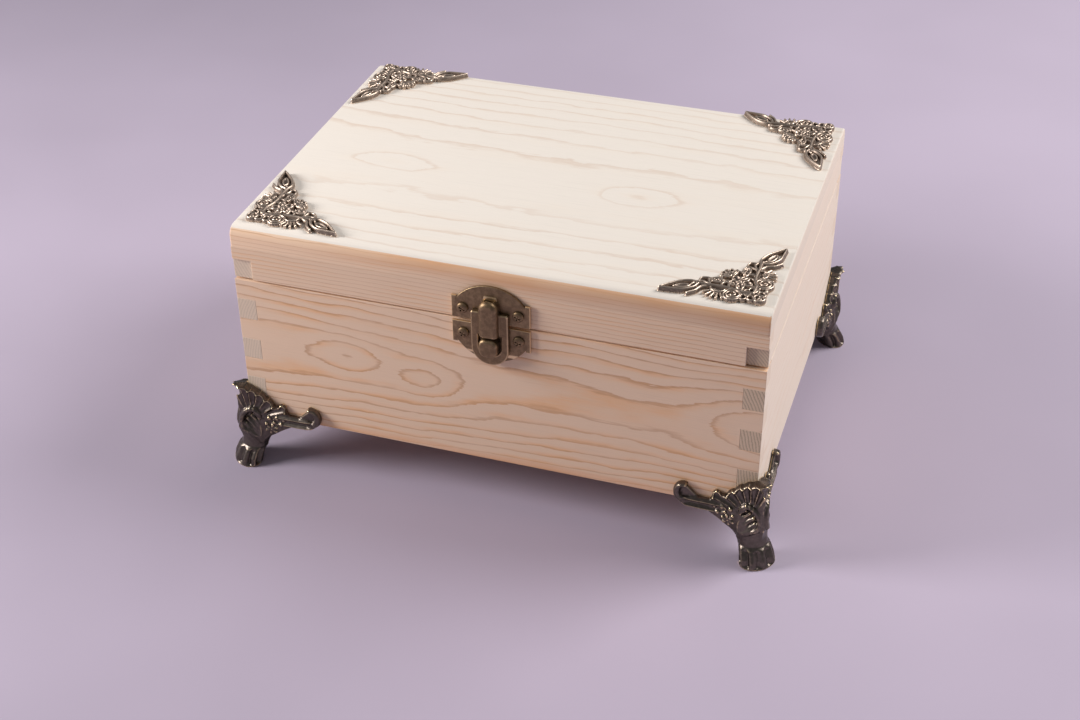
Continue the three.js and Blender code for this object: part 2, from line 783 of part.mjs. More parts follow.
// The flap hangs from the pin at its own origin, towards -z, and its face is towards -y.
function flapShape() {
  const half = flap_half_width;
  const top = -flap_shoulder_drop;
  const round = flap_corner_radius;
  const shape = new THREE.Shape();
  shape.moveTo(-half, -flap_length + half);
  shape.absarc(0, -flap_length + half, half, Math.PI, 2 * Math.PI, false);
  shape.lineTo(half, top - round);
  shape.lineTo(half - round, top);
  shape.lineTo(-half + round, top);
  shape.lineTo(-half, top - round);
  shape.closePath();
  const window = new THREE.Path();
  const wide = flap_window_half;
  window.moveTo(-wide, -hood_length);
  window.lineTo(-wide, -flap_window_end + wide);
  window.absarc(0, -flap_window_end + wide, wide, Math.PI, 2 * Math.PI, false);
  window.lineTo(wide, -hood_length);
  window.closePath();
  shape.holes.push(window);
  return shape;
}

function hoodShape(half, out, round) {
  const shape = new THREE.Shape();
  const back = latch_pivot_stand - seat_gap;
  shape.moveTo(-half, back);
  shape.lineTo(-half, -out + round);
  shape.absarc(-half + round, -out + round, round, Math.PI, 1.5 * Math.PI, false);
  shape.absarc(half - round, -out + round, round, 1.5 * Math.PI, 2 * Math.PI, false);
  shape.lineTo(half, back);
  shape.closePath();
  return shape;
}

function latchFlap() {
  const out = latch_barrel_radius;
  const half = hood_half_width;
  const back = latch_pivot_stand - seat_gap;
  const sheet = plate(flapShape(), flap_thickness, 2 * curve_steps).translate([0, back, 0]);
  const outer = hoodShape(half, out, hood_corner_radius);
  const hood = flatPlate(outer, hood_length).translate([0, 0, -hood_length]);
  const inner = hoodShape(half - hood_wall, out - hood_wall, hood_corner_radius - hood_wall);
  const reach = hood_length - hood_wall - flap_shoulder_drop;
  const hollow = flatPlate(inner, reach).translate([0, 0, -flap_shoulder_drop - reach]);
  const barrel = bar([-half, 0, 0], [half, 0, 0], out, round_sides);
  const slot = latch_lug_width / 2 + seat_gap;
  const eye = latch_lug_radius + seat_gap;
  const past = latch_pivot_stand + overrun;
  const bore = latch_pin_radius + latch_pin_clearance;
  const behind = block([-half - overrun, half + overrun], [back, past], [-flap_length, past]);
  return joined([sheet, hood, barrel])
    .subtract(hollow)
    .subtract(bar([-slot, 0, 0], [slot, 0, 0], eye, round_sides))
    .subtract(block([-slot, slot], [0, past], [-eye, past]))
    .subtract(block([-slot, slot], [-eye, past], [0, past]))
    .subtract(bar([-past - half, 0, 0], [past + half, 0, 0], bore, round_sides))
    .subtract(behind);
}

// How far below the parting line the knob's middle lies: it fills the flap's window, but
// for a clearance.
function knobCentreDrop() {
  const windowMiddle = (hood_length + flap_window_end) / 2;
  return windowMiddle - latch_pivot_height - parting_gap;
}

function latchKnob() {
  const inset = knob_clearance + knob_edge_radius;
  const wide = flap_window_half - inset;
  const tall = (flap_window_end - hood_length) / 2 - inset;
  const round = knob_corner_radius - knob_edge_radius;
  const shape = new THREE.Shape();
  shape.moveTo(-wide + round, -tall);
  shape.absarc(wide - round, -tall + round, round, -Math.PI / 2, 0, false);
  shape.absarc(wide - round, tall - round, round, 0, Math.PI / 2, false);
  shape.absarc(-wide + round, tall - round, round, Math.PI / 2, Math.PI, false);
  shape.absarc(-wide + round, -tall + round, round, Math.PI, 1.5 * Math.PI, false);
  const geometry = new THREE.ExtrudeGeometry(shape, {
    depth: knob_height - 2 * knob_edge_radius,
    bevelThickness: knob_edge_radius,
    bevelSize: knob_edge_radius,
    bevelSegments: 2,
    curveSegments: 2,
  });
  geometry.translate(0, 0, knob_edge_radius);
  geometry.applyMatrix4(new THREE.Matrix4().makeBasis(direction.right, direction.up, direction.front));
  const reach = plate_thickness + seat_gap;
  const tenon = bar([0, reach, 0], [0, -knob_height / 2, 0], knob_tenon_radius, round_sides);
  return toSolid(geometry).add(tenon);
}

function buildLatch(lid, body) {
  const face = -box_width / 2 - seat_gap;
  const front = face - plate_thickness;
  const pivot = front - latch_pivot_stand;
  const upper = mesh('latch_upper_plate', upperPlate(), brass);
  const lower = mesh('latch_lower_plate', lowerPlate(), brass);
  const flap = mesh('latch_flap', latchFlap(), brass);
  const half = hood_half_width - seat_gap;
  const pin = mesh('latch_pin', bar([-half, 0, 0], [half, 0, 0], latch_pin_radius, round_sides), brass);
  const knob = mesh('latch_knob', latchKnob(), brass);
  const upperHeight = upper_screw_rise;
  const lowerHeight = body_height - lower_screw_drop;
  lid.add(place(upper, latch_offset, face, plate_margin));
  lid.add(place(flap, latch_offset, pivot, latch_pivot_height));
  lid.add(place(pin, latch_offset, pivot, latch_pivot_height));
  body.add(place(lower, latch_offset, face, body_height - plate_margin));
  body.add(place(knob, latch_offset, front - seat_gap, body_height - knobCentreDrop()));
  const upperPlaces = latch_screw_x.map((x) => [latch_offset + x, front - seat_gap, upperHeight]);
  const lowerPlaces = latch_screw_x.map((x) => [latch_offset + x, front - seat_gap, lowerHeight]);
  addScrews(lid, 'latch_upper', upperPlaces, short_screw_length, Math.PI / 2);
  addScrews(body, 'latch_lower', lowerPlaces, short_screw_length, Math.PI / 2);
}

// A hinge leaf, standing up from the pin at its own origin, its face towards +y. The
// knuckles are the x ranges given, and the leaf is cut back at the neighbour's knuckles.
const knuckle_width = hinge_width / 3;
const middleKnuckle = [[-knuckle_width / 2 + joint_gap / 2, knuckle_width / 2 - joint_gap / 2]];
const outerKnuckles = [
  [-hinge_width / 2, -knuckle_width / 2 - joint_gap / 2],
  [knuckle_width / 2 + joint_gap / 2, hinge_width / 2],
];

function hingeLeaf(own, other) {
  const half = hinge_width / 2;
  const inner = -hinge_barrel_radius;
  const outer = inner + hinge_leaf_thickness;
  let leaf = block([-half, half], [inner, outer], [0, hinge_leaf_height]);
  for (const [from, to] of other) {
    const reach = hinge_barrel_radius + joint_gap;
    const cut = [from - joint_gap, to + joint_gap];
    leaf = leaf.subtract(block(cut, [-2 * overrun, 2 * overrun], [-reach, reach]));
  }
  for (const [from, to] of own) {
    leaf = leaf.add(bar([from, 0, 0], [to, 0, 0], hinge_barrel_radius, round_sides));
  }
  const bore = hinge_pin_radius + hinge_pin_clearance;
  leaf = leaf.subtract(bar([-half - overrun, 0, 0], [half + overrun, 0, 0], bore, round_sides));
  for (const side of [-1, 1]) {
    const x = (side * hinge_screw_spacing) / 2;
    const z = hinge_screw_rise;
    leaf = leaf.subtract(bar([x, inner - overrun, z], [x, outer + overrun, z], screw_hole_radius));
  }
  return leaf;
}

function buildHinges(lid, body) {
  const axis = box_width / 2 + hinge_axis_stand;
  const head = box_width / 2 + seat_gap + hinge_leaf_thickness + seat_gap;
  ['left', 'right'].forEach((name, at) => {
    const x = (at - 0.5) * hinge_spacing;
    const standing = hingeLeaf(middleKnuckle, outerKnuckles);
    const hanging = hingeLeaf(outerKnuckles, middleKnuckle).mirror([0, 0, 1]);
    const half = hinge_width / 2;
    const rod = bar([-half, 0, 0], [half, 0, 0], hinge_pin_radius, round_sides);
    const height = body_height + parting_gap;
    lid.add(place(mesh(`hinge_${name}_lid_leaf`, standing, brass), x, axis, 0));
    body.add(place(mesh(`hinge_${name}_base_leaf`, hanging, brass), x, axis, height));
    body.add(place(mesh(`hinge_${name}_pin`, rod, brass), x, axis, height));
    const screws = [-1, 1].map((side) => x + (side * hinge_screw_spacing) / 2);
    const lidPlaces = screws.map((along) => [along, head, hinge_screw_rise]);
    const basePlaces = screws.map((along) => [along, head, height - hinge_screw_rise]);
    addScrews(lid, `hinge_${name}_lid`, lidPlaces, short_screw_length, -Math.PI / 2);
    addScrews(body, `hinge_${name}_base`, basePlaces, short_screw_length, -Math.PI / 2);
  });
}

const body = buildBody();
const lid = buildLid();
buildLatch(lid, body);
buildHinges(lid, body);
body.add(buildFeet());
lid.add(buildOrnaments());
place(body, 0, 0, foot_height);
place(lid, 0, 0, foot_height + body_height + parting_gap);
const box = new THREE.Group();
box.add(body, lid);

export default box;
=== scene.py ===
"""Dresses the wooden storage box: boards with their grain, cast feet, pierced corner
ornaments, the hasp latch, the hinges and the screws, on a plain pale floor."""

import functools
import math

import bmesh
import bpy
import numpy as np
from bpy.props import FloatProperty, FloatVectorProperty, IntProperty, PointerProperty
from mathutils import Matrix, Vector


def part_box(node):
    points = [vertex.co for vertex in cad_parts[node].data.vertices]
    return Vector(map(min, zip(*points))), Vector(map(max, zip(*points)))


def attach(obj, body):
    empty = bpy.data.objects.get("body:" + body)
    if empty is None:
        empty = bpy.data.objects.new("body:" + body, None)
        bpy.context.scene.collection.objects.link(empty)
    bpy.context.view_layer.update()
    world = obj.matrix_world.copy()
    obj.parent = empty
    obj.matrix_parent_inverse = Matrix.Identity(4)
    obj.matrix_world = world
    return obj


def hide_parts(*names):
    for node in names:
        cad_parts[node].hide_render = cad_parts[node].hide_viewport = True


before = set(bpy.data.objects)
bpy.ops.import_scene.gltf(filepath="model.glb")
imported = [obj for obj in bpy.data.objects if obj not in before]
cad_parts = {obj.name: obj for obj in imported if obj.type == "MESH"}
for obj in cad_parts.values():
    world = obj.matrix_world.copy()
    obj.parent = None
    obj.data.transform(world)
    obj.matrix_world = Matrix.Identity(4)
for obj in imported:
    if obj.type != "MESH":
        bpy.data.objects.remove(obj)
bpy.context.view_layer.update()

bl_info = {
    "name": "Wooden storage box",
    "version": (1, 0, 0),
    "blender": (4, 5, 0),
    "location": "3D View > Sidebar > Storage box",
    "description": "Builds a finger-jointed box with a hasp latch, cast feet and corner ornaments",
    "category": "Object",
}

MM = 0.001
UP = Vector((0, 0, 1))
TINY = 1e-6
SHARP = 0.6
PLATE = 1.0


def size(name, default, about, low=0.0):
    """A length in millimetres, as a Blender property."""
    return FloatProperty(name=name, default=default, min=low, description=about + ", in millimetres")


def degrees(name, default, about):
    """An angle, given in degrees."""
    return FloatProperty(name=name, default=math.radians(default), subtype="ANGLE", description=about)


def colour(name, default, about):
    limits = {"size": 3, "min": 0, "max": 1, "subtype": "COLOR"}
    return FloatVectorProperty(name=name, default=default, description=about, **limits)


class WoodSizes(bpy.types.PropertyGroup):
    """The boards and their grain."""

    board: size("Board", 7.5, "Thickness of the walls and rails")
    joint: size("Joint", 0.05, "Open joint between two fingers")
    parting: size("Parting", 0.4, "Extra width of the dark line under the lid")
    arris: size("Arris", 0.16, "Bevel along a board's edges")
    top_round: size("Top round", 4.0, "Radius along the lid's front and back edges")
    side_round: size("Side round", 0.7, "Radius along the lid's short edges")
    fingers: IntProperty(name="Fingers", default=7, min=3, description="Fingers up one corner")
    lid_finger: size("Lid finger", 7.9, "Height of the side rail's finger")
    pale: colour("Pale wood", (0.88, 0.81, 0.735), "Early wood of the lid's top")
    side: colour("Side wood", (0.92, 0.79, 0.66), "Early wood of the short sides")
    warm: colour("Warm wood", (0.89, 0.65, 0.47), "Early wood of the front and back")
    late: colour("Late wood", (0.52, 0.28, 0.15), "Late wood between the rings")
    ply: colour("Plywood", (0.74, 0.56, 0.36), "Face of the bottom panel")


class MetalColours(bpy.types.PropertyGroup):
    """The finishes of the fittings."""

    bronze: colour("Bronze", (0.125, 0.104, 0.09), "Dark cast bronze of the feet")
    bronze_worn: colour("Worn bronze", (0.95, 0.75, 0.46), "Rubbed rims of the feet")
    filigree: colour("Filigree", (0.22, 0.17, 0.14), "Ornaments, in their hollows")
    filigree_worn: colour("Worn filigree", (0.92, 0.75, 0.61), "Rubbed rims of the ornaments")
    brass: colour("Antique brass", (0.2, 0.135, 0.078), "Latch and hinges")
    brass_worn: colour("Worn brass", (0.86, 0.64, 0.38), "Rubbed edges of the latch")


class FootSizes(bpy.types.PropertyGroup):
    """A cast corner foot, from the box's bottom edge."""

    height: size("Height", 21.0, "From the floor to the box's bottom edge")
    stand: size("Stand", 0.35, "Gap between the casting and the wood")
    wing: size("Wing", 2.3, "Thickness of a wing")
    corner: size("Corner", 1.3, "Rounding where the two wings meet")
    grain: size("Grain", 0.25, "Spacing of the casting's surface points", 0.1)


class OrnamentSizes(bpy.types.PropertyGroup):
    """A pierced corner ornament."""

    leg: size("Leg", 36.5, "Length along one edge of the lid")
    relief: size("Relief", 1.95, "Height of the raised rims")
    grain: size("Grain", 0.17, "Spacing of the casting's surface points", 0.1)


class LatchSizes(bpy.types.PropertyGroup):
    """The hasp latch."""

    arris: size("Arris", 0.3, "Rounding of the plates' edges")
    grain: size("Grain", 0.13, "Spacing of the flap's surface points", 0.08)


class StageLook(bpy.types.PropertyGroup):
    """Floor, lamps and camera."""

    floor: colour("Floor", (0.415, 0.36, 0.455), "Colour of the floor")
    lens: FloatProperty(name="Lens", default=56.11, description="Focal length in millimetres")
    turn: degrees("Turn", 18.41, "Round the box")
    rise: degrees("Rise", 34.97, "Above the floor")
    roll: degrees("Roll", -0.58, "About the view")
    world: FloatProperty(name="World", default=0.2, description="Strength of the light from all round")
    lamp: FloatProperty(name="Lamp", default=14.8, description="Power of the main lamp, in watts")


# Shader nodes as sums


def sum_of(operation, turned=False):
    """A method that makes a maths node of a value and another."""

    def method(self, other):
        pair = (other, self) if turned else (self, other)
        return self.shade.node("ShaderNodeMath", {"operation": operation}, dict(enumerate(pair)))

    return method


class Value:
    """A socket that can be added, multiplied and so on as a number is."""

    def __init__(self, shade, socket):
        self.shade = shade
        self.socket = socket

    __add__ = sum_of("ADD")
    __radd__ = sum_of("ADD", True)
    __sub__ = sum_of("SUBTRACT")
    __rsub__ = sum_of("SUBTRACT", True)
    __mul__ = sum_of("MULTIPLY")
    __truediv__ = sum_of("DIVIDE")
    __pow__ = sum_of("POWER")
    __mod__ = sum_of("FLOORED_MODULO")

    def alone(self, operation):
        """A maths node of this value by itself."""
        return self.shade.node("ShaderNodeMath", {"operation": operation}, {0: self})

    def __abs__(self):
        return self.alone("ABSOLUTE")

    def ramp(self, low, high):
        """0 below low, 1 above high and smooth between them."""
        inputs = {"Value": self, "From Min": low, "From Max": high}
        return self.shade.node("ShaderNodeMapRange", {"interpolation_type": "SMOOTHSTEP"}, inputs)


class Shade:
    """One material's nodes. Numbers, colours and links go in the same way."""

    def __init__(self, name):
        self.material = bpy.data.materials.new(name)
        self.material.use_nodes = True
        self.tree = self.material.node_tree
        self.tree.nodes.clear()

    def node(self, kind, settings=None, inputs=None, output=0):
        made = self.tree.nodes.new(kind)
        for key, value in (settings or {}).items():
            setattr(made, key, value)
        for key, value in (inputs or {}).items():
            if isinstance(value, Value):
                self.tree.links.new(value.socket, made.inputs[key])
            else:
                made.inputs[key].default_value = value
        return Value(self, made.outputs[output])

    def mix(self, part, a, b):
        """Colour a where part is 0 and colour b where it is 1."""
        a, b = ((*c, 1) if isinstance(c, (tuple, list)) else c for c in (a, b))
        return self.node("ShaderNodeMix", {"data_type": "RGBA"}, {0: part, 6: a, 7: b}, 2)

    def place(self, scale=(1, 1, 1), shift=(0, 0, 0)):
        """Where a point lies on the object, in millimetres, scaled and shifted."""
        here = self.node("ShaderNodeTexCoord", output="Object")
        stretch = [s / MM for s in scale]
        inputs = {"Vector": here, "Scale": stretch, "Location": shift}
        return self.node("ShaderNodeMapping", None, inputs)

    def split(self, vector):
        made = self.tree.nodes.new("ShaderNodeSeparateXYZ")
        self.tree.links.new(vector.socket, made.inputs[0])
        return [Value(self, out) for out in made.outputs]

    def noise(self, vector, detail, rough):
        inputs = {"Vector": vector, "Scale": 1.0, "Detail": detail, "Roughness": rough}
        return self.node("ShaderNodeTexNoise", None, inputs)

    def specks(self, size, detail, rough):
        """Noise of one size in millimetres, the same in every direction."""
        return self.noise(self.place((1 / size,) * 3), detail, rough)

    def bump(self, height, distance, strength):
        inputs = {"Height": height, "Distance": distance * MM, "Strength": strength}
        return self.node("ShaderNodeBump", None, inputs)

    def finish(self, **inputs):
        """Ends the material in one plain shader."""
        inputs = {key.replace("_", " "): value for key, value in inputs.items()}
        surface = self.node("ShaderNodeBsdfPrincipled", None, inputs)
        end = self.tree.nodes.new("ShaderNodeOutputMaterial")
        self.tree.links.new(surface.socket, end.inputs["Surface"])
        return self.material


# How far end grain takes its own tone, how dark its rings are, and that tone
PALE_ENDS = (0.8, 0.04, (0.87, 0.74, 0.61))
PLY_ENDS = (0.3, 0.1, (0.42, 0.3, 0.21))
LIT_ENDS = (0.3, 0.16, (0.46, 0.25, 0.085))
# The right board's and right rail's end grain below are shaded copies of the left's lit end grain:
# painted shade, with more of the dark tone and darker rings
SHADED_WALL_ENDS = (0.46, 0.45, (0.46, 0.25, 0.085))
SHADED_RAIL_ENDS = (0.46, 0.36, (0.46, 0.25, 0.085))

# How far the rings stray in millimetres, and over which length and width they do so
SIDE_WANDER = (0.8, 60.0, 20.0)
LID_WANDER = (0.45, 80.0, 26.0)

# Each wood's colour, its axis along the grain, where the trunk's middle lies on the other two
# axes, the rings' spacing, their drift along the grain, their wander, how dark the late
# wood's lines and bands are, the end grain, and the seed
LID_LOG = (0, (-8.0, -117.0), 1.65, 0.003, LID_WANDER)
GRAINS = {
    "wood_front": ("warm", 0, (-25.0, 55.0), 1.6, 0.016, (1.0, 50.0, 22.0), 0.62, 0.85, PALE_ENDS, 2.0),
    "wood_back": ("warm", 0, (38.0, 48.0), 1.9, -0.014, (1.6, 60.0, 24.0), 0.5, 0.6, PALE_ENDS, 9.0),
    "wood_left": ("side", 1, (17.0, 25.0), 1.1, 0.006, SIDE_WANDER, 0.16, 0.12, LIT_ENDS, 4.0),
    "wood_right": ("side", 1, (-17.0, 25.0), 1.1, -0.006, SIDE_WANDER, 0.16, 0.12, SHADED_WALL_ENDS, 6.0),
    "plywood": ("ply", 0, (0.0, -300.0), 6.0, 0.05, (9.0, 90.0, 40.0), 0.3, 0.3, PLY_ENDS, 5.0),
    "wood_top": ("pale", *LID_LOG, 0.25, 0.08, PALE_ENDS, 21.0),
    "wood_front_lid": ("warm", *LID_LOG, 0.62, 0.5, PALE_ENDS, 21.0),
    "wood_back_lid": ("warm", *LID_LOG, 0.5, 0.4, PALE_ENDS, 21.0),
    "wood_left_rail": ("side", 1, (0.0, 140.0), 1.2, 0.01, SIDE_WANDER, 0.16, 0.1, LIT_ENDS, 16.0),
    "wood_right_rail": ("side", 1, (40.0, 40.0), 1.0, 0.01, SIDE_WANDER, 0.16, 0.1, SHADED_RAIL_ENDS, 18.0),
}

# A swell's centre, its reach on the three axes and how far it lifts the rings
FRONT_SWELLS = (
    ((-57.0, -73.0, 57.0), (15.0, 30.0, 8.0), -2.6),
    ((-26.0, -73.0, 52.0), (11.0, 30.0, 6.5), -2.1),
    ((108.0, -73.0, 57.0), (30.0, 30.0, 16.0), -3.6),
    ((22.0, -73.0, 40.0), (34.0, 30.0, 11.0), 1.3),
    ((-4.0, -73.0, 68.0), (30.0, 30.0, 10.0), 0.9),
)
LID_SWELLS = (
    ((36.0, -8.0, 104.0), (15.0, 7.0, 40.0), 2.6),
    ((-62.0, -8.0, 104.0), (17.0, 6.0, 40.0), 2.4),
)

# A band's axis, where it starts and ends, its strength and its tone. The top band is a real stain along
# the lid's top edge; the low band is painted light, a warm glow along the front's bottom edge for light
# bounced up from the floor
LOW_BOUNCE_GLOW = (2, 18.0, 24.5, 0.6, (0.84, 0.46, 0.26))
TOP_STAIN = (2, 96.0, 105.2, 0.8, (0.78, 0.42, 0.22))

END_LINE = (0.17, 0.12, 0.075)
BAND_TINT = (1.03, 0.8, 0.56)
FIBRE_SHADE = 0.78


def wood(name, swells=(), stain=None):
    """Sawn and sanded pine, ringed as its row in GRAINS says. A swell bends the rings round
    a point, and stain tints the wood between two heights: a real stain along the lid's top
    edge, and painted bounce light, a warm glow, along the front's bottom edge."""
    key, grain, heart, rings, tilt, wander, line, band, ends, seed = GRAINS[name]
    colours = bpy.context.scene.box_wood
    early, late = tuple(getattr(colours, key)), tuple(colours.late)
    shade = Shade(name)
    place = shade.split(shade.place())
    across, up = (place[axis] for axis in range(3) if axis != grain)

    def streaks(length, width, detail=2.0, rough=0.5, shift=0.0):
        """Noise drawn out along the grain, for streaks of this size in millimetres."""
        stretch = [1 / width] * 3
        stretch[grain] = 1 / length
        return shade.noise(shade.place(stretch, (shift, seed, 0.4 * shift)), detail, rough)

    reach, length, width = wander
    slow = streaks(length, width, 1.0, 0.4, seed)
    quick = streaks(14.0, 5.0, shift=seed + 7)
    feather = streaks(11.0, 0.55, rough=0.55, shift=13.0)
    patch = streaks(42.0, 9.0, shift=3.0)
    broad = streaks(120.0, 30.0, 1.0, shift=11.0)
    fibre = streaks(7.0, 0.16, 3.0, 0.62, 5.0)
    streak = streaks(24.0, 0.5, shift=9.0)
    pore = shade.specks(0.3, 2, 0.6)

    distance = ((across - heart[0]) ** 2 + (up - heart[1]) ** 2) ** 0.5
    distance = distance + place[grain] * tilt + (slow - 0.5) * (2.4 * reach)
    distance = distance + (quick - 0.5) * 0.9 + (feather - 0.5) * 0.42
    for at, spread, lift in swells:
        span = [(place[axis] - at[axis]) / spread[axis] for axis in range(3)]
        near = (span[0] ** 2 + span[1] ** 2 + span[2] ** 2) * -1.0
        distance = distance + near.alone("EXPONENT") * lift
    ring = (distance / rings) % 1.0
    soft = ring.ramp(0.35, 0.93) * (1.0 - ring.ramp(0.95, 0.995))
    thin = ring.ramp(0.76, 0.93) * (1.0 - ring.ramp(0.95, 0.99))

    normal = shade.split(shade.node("ShaderNodeTexCoord", output="Normal"))
    end = abs(normal[grain]).ramp(0.75, 0.92)
    side = 1.0 - end
    tint = tuple(a * b for a, b in zip(early, BAND_TINT))
    deep = tuple(FIBRE_SHADE * c for c in early)
    tone = shade.mix(soft * (patch.ramp(0.38, 0.66) * 0.85 + 0.15) * side * band, early, tint)
    tone = shade.mix(thin * (broad.ramp(0.3, 0.7) * 0.5 + 0.5) * side * line, tone, late)
    tone = shade.mix(streak.ramp(0.5, 0.8) * 0.2 + fibre.ramp(0.45, 0.85) * 0.22, tone, deep)
    # Stain: a real stain on the lid's top edge, and on the front's bottom edge painted bounce light, a
    # warm glow from the floor
    if stain:
        axis, low, high, strength, stain_and_glow_tone = stain
        spread = (place[axis] + (slow - 0.5) * 5.0 + (feather - 0.5) * 1.6 - low) / (high - low)
        part = spread.ramp(0.0, 0.6) * (1.0 - spread.ramp(0.75, 1.0))
        part = part * (patch.ramp(0.3, 0.6) * 0.4 + 0.6)
        part = part * (place[grain].ramp(-95.0, 0.0) * 0.75 + 0.25)
        tone = shade.mix(part * side * strength, tone, stain_and_glow_tone)
    cut, dark, cut_tone = ends
    # On the right board and rail these end-grain mixes carry painted shade, from their shaded ends
    tone = shade.mix(end * (0.85 + pore * 0.3) * cut, tone, cut_tone)
    tone = shade.mix(end * soft * dark, tone, END_LINE)
    height = fibre * 0.5 + streak * 0.3 - thin * 0.3
    return shade.finish(
        Base_Color=tone,
        Roughness=0.62 + fibre * 0.16,
        Specular_IOR_Level=0.35,
        Normal=shade.bump(height, 0.08, 0.6),
    )


BLOTCH_SIZE = 1.6
PIT_SIZE = 0.22
EDGE_WEAR = (0.52, 0.62)


def metal(name, key, rough, wear, mottle, metallic=0.9, cast=False):
    """Cast or stamped metal, dark in its hollows and rubbed bright along its rims. wear is
    where the rubbing starts and ends: on a casting, how far in millimetres the metal stands
    above what lies round it."""
    colours = bpy.context.scene.box_metal
    dark, worn = tuple(getattr(colours, key)), tuple(getattr(colours, f"{key}_worn"))
    shade = Shade(name)
    if cast:
        point = shade.node("ShaderNodeAttribute", {"attribute_name": "wear"}, output="Fac")
    else:
        point = shade.node("ShaderNodeNewGeometry", output="Pointiness")
    blotch = shade.specks(BLOTCH_SIZE, 3, 0.6)
    pit = shade.specks(PIT_SIZE, 2, 0.6)
    rim = (point + (blotch - 0.5) * (0.3 * (wear[1] - wear[0]))).ramp(*wear)
    stain = shade.mix(blotch.ramp(0.35, 0.7) * mottle, dark, tuple(1.7 * c for c in dark))
    return shade.finish(
        Base_Color=shade.mix(rim, stain, worn),
        Metallic=metallic,
        Roughness=(rough + pit * 0.16 + blotch * 0.1) - rim * 0.1,
        Normal=shade.bump(pit, 0.04, 0.5),
    )


# Meshes


def linked(name, data):
    """A new object in the scene."""
    made = bpy.data.objects.new(name, data)
    bpy.context.collection.objects.link(made)
    return made


def plain(item):
    """A plain mesh of what an object's curve or modifiers make."""
    bpy.context.view_layer.update()
    shown = item.evaluated_get(bpy.context.evaluated_depsgraph_get())
    return bpy.data.meshes.new_from_object(shown)


def finished(name, mesh, material, body, nodes, slot, smooth_angle=None):
    """Gives a mesh its material and its body, and hides the parts that it stands for."""
    piece = linked(name, mesh)
    mesh.materials.clear()
    mesh.materials.append(material)
    if smooth_angle is not None:
        mesh.polygons.foreach_set("use_smooth", [True] * len(mesh.polygons))
        mesh.set_sharp_from_angle(angle=smooth_angle)
    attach(piece, body)
    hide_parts(*nodes)
    return piece


def prism(outline, depth, bevel=0.0):
    """A bmesh of a flat outline in x and z, from y = 0 to its depth, all in millimetres."""
    form = bmesh.new()
    face = form.faces.new([form.verts.new((x, 0, z)) for x, z in outline])
    pushed = bmesh.ops.extrude_face_region(form, geom=[face])
    moved = [v for v in pushed["geom"] if isinstance(v, bmesh.types.BMVert)]
    bmesh.ops.translate(form, verts=moved, vec=(0, depth, 0))
    bmesh.ops.recalc_face_normals(form, faces=form.faces)
    if bevel:
        soften(form, SHARP, bevel)
    return form


def soften(form, sharp, bevel):
    """Bevels the edges that turn by more than an angle."""
    edges = [e for e in form.edges if e.calc_face_angle(0) > sharp]
    bmesh.ops.bevel(form, geom=edges, offset=bevel, segments=2, profile=0.5, affect="EDGES")


def to_mesh(name, form, turn=None):
    """Turns a bmesh in millimetres into a mesh in metres, moved by a matrix in millimetres."""
    form.transform(Matrix.Scale(MM, 4) @ (turn or Matrix.Identity(4)))
    form.normal_update()
    bmesh.ops.recalc_face_normals(form, faces=form.faces)
    mesh = bpy.data.meshes.new(name)
    form.to_mesh(mesh)
    form.free()
    return mesh


def stamped(node, ending, form, place, brass, body):
    """Finishes a plate or a pin of antique brass."""
    name = f"{node}_{ending}"
    finished(name, to_mesh(name, form, place), brass, body, [node], "antique_brass", SHARP)


def shift(x, y, z, turn=0.0):
    """A matrix that turns about the upright axis and then moves."""
    return Matrix.Translation((x, y, z)) @ Matrix.Rotation(turn, 4, "Z")


def cad_box(node):
    """The corners of a CAD node's box, in millimetres."""
    low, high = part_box(node)
    return low / MM, high / MM


def relaxed(points, faces, times):
    """The points, each drawn halfway to the middle of its neighbours, that many times."""
    a, b = faces.ravel(), np.roll(faces, -1, 1).ravel()
    here, there = np.concatenate([a, b]), np.concatenate([b, a])
    count = np.bincount(here, minlength=len(points))[:, None]
    for _ in range(times):
        sums = [np.bincount(here, points[there, axis], len(points)) for axis in range(3)]
        points = 0.5 * (points + np.stack(sums, 1) / count)
    return points


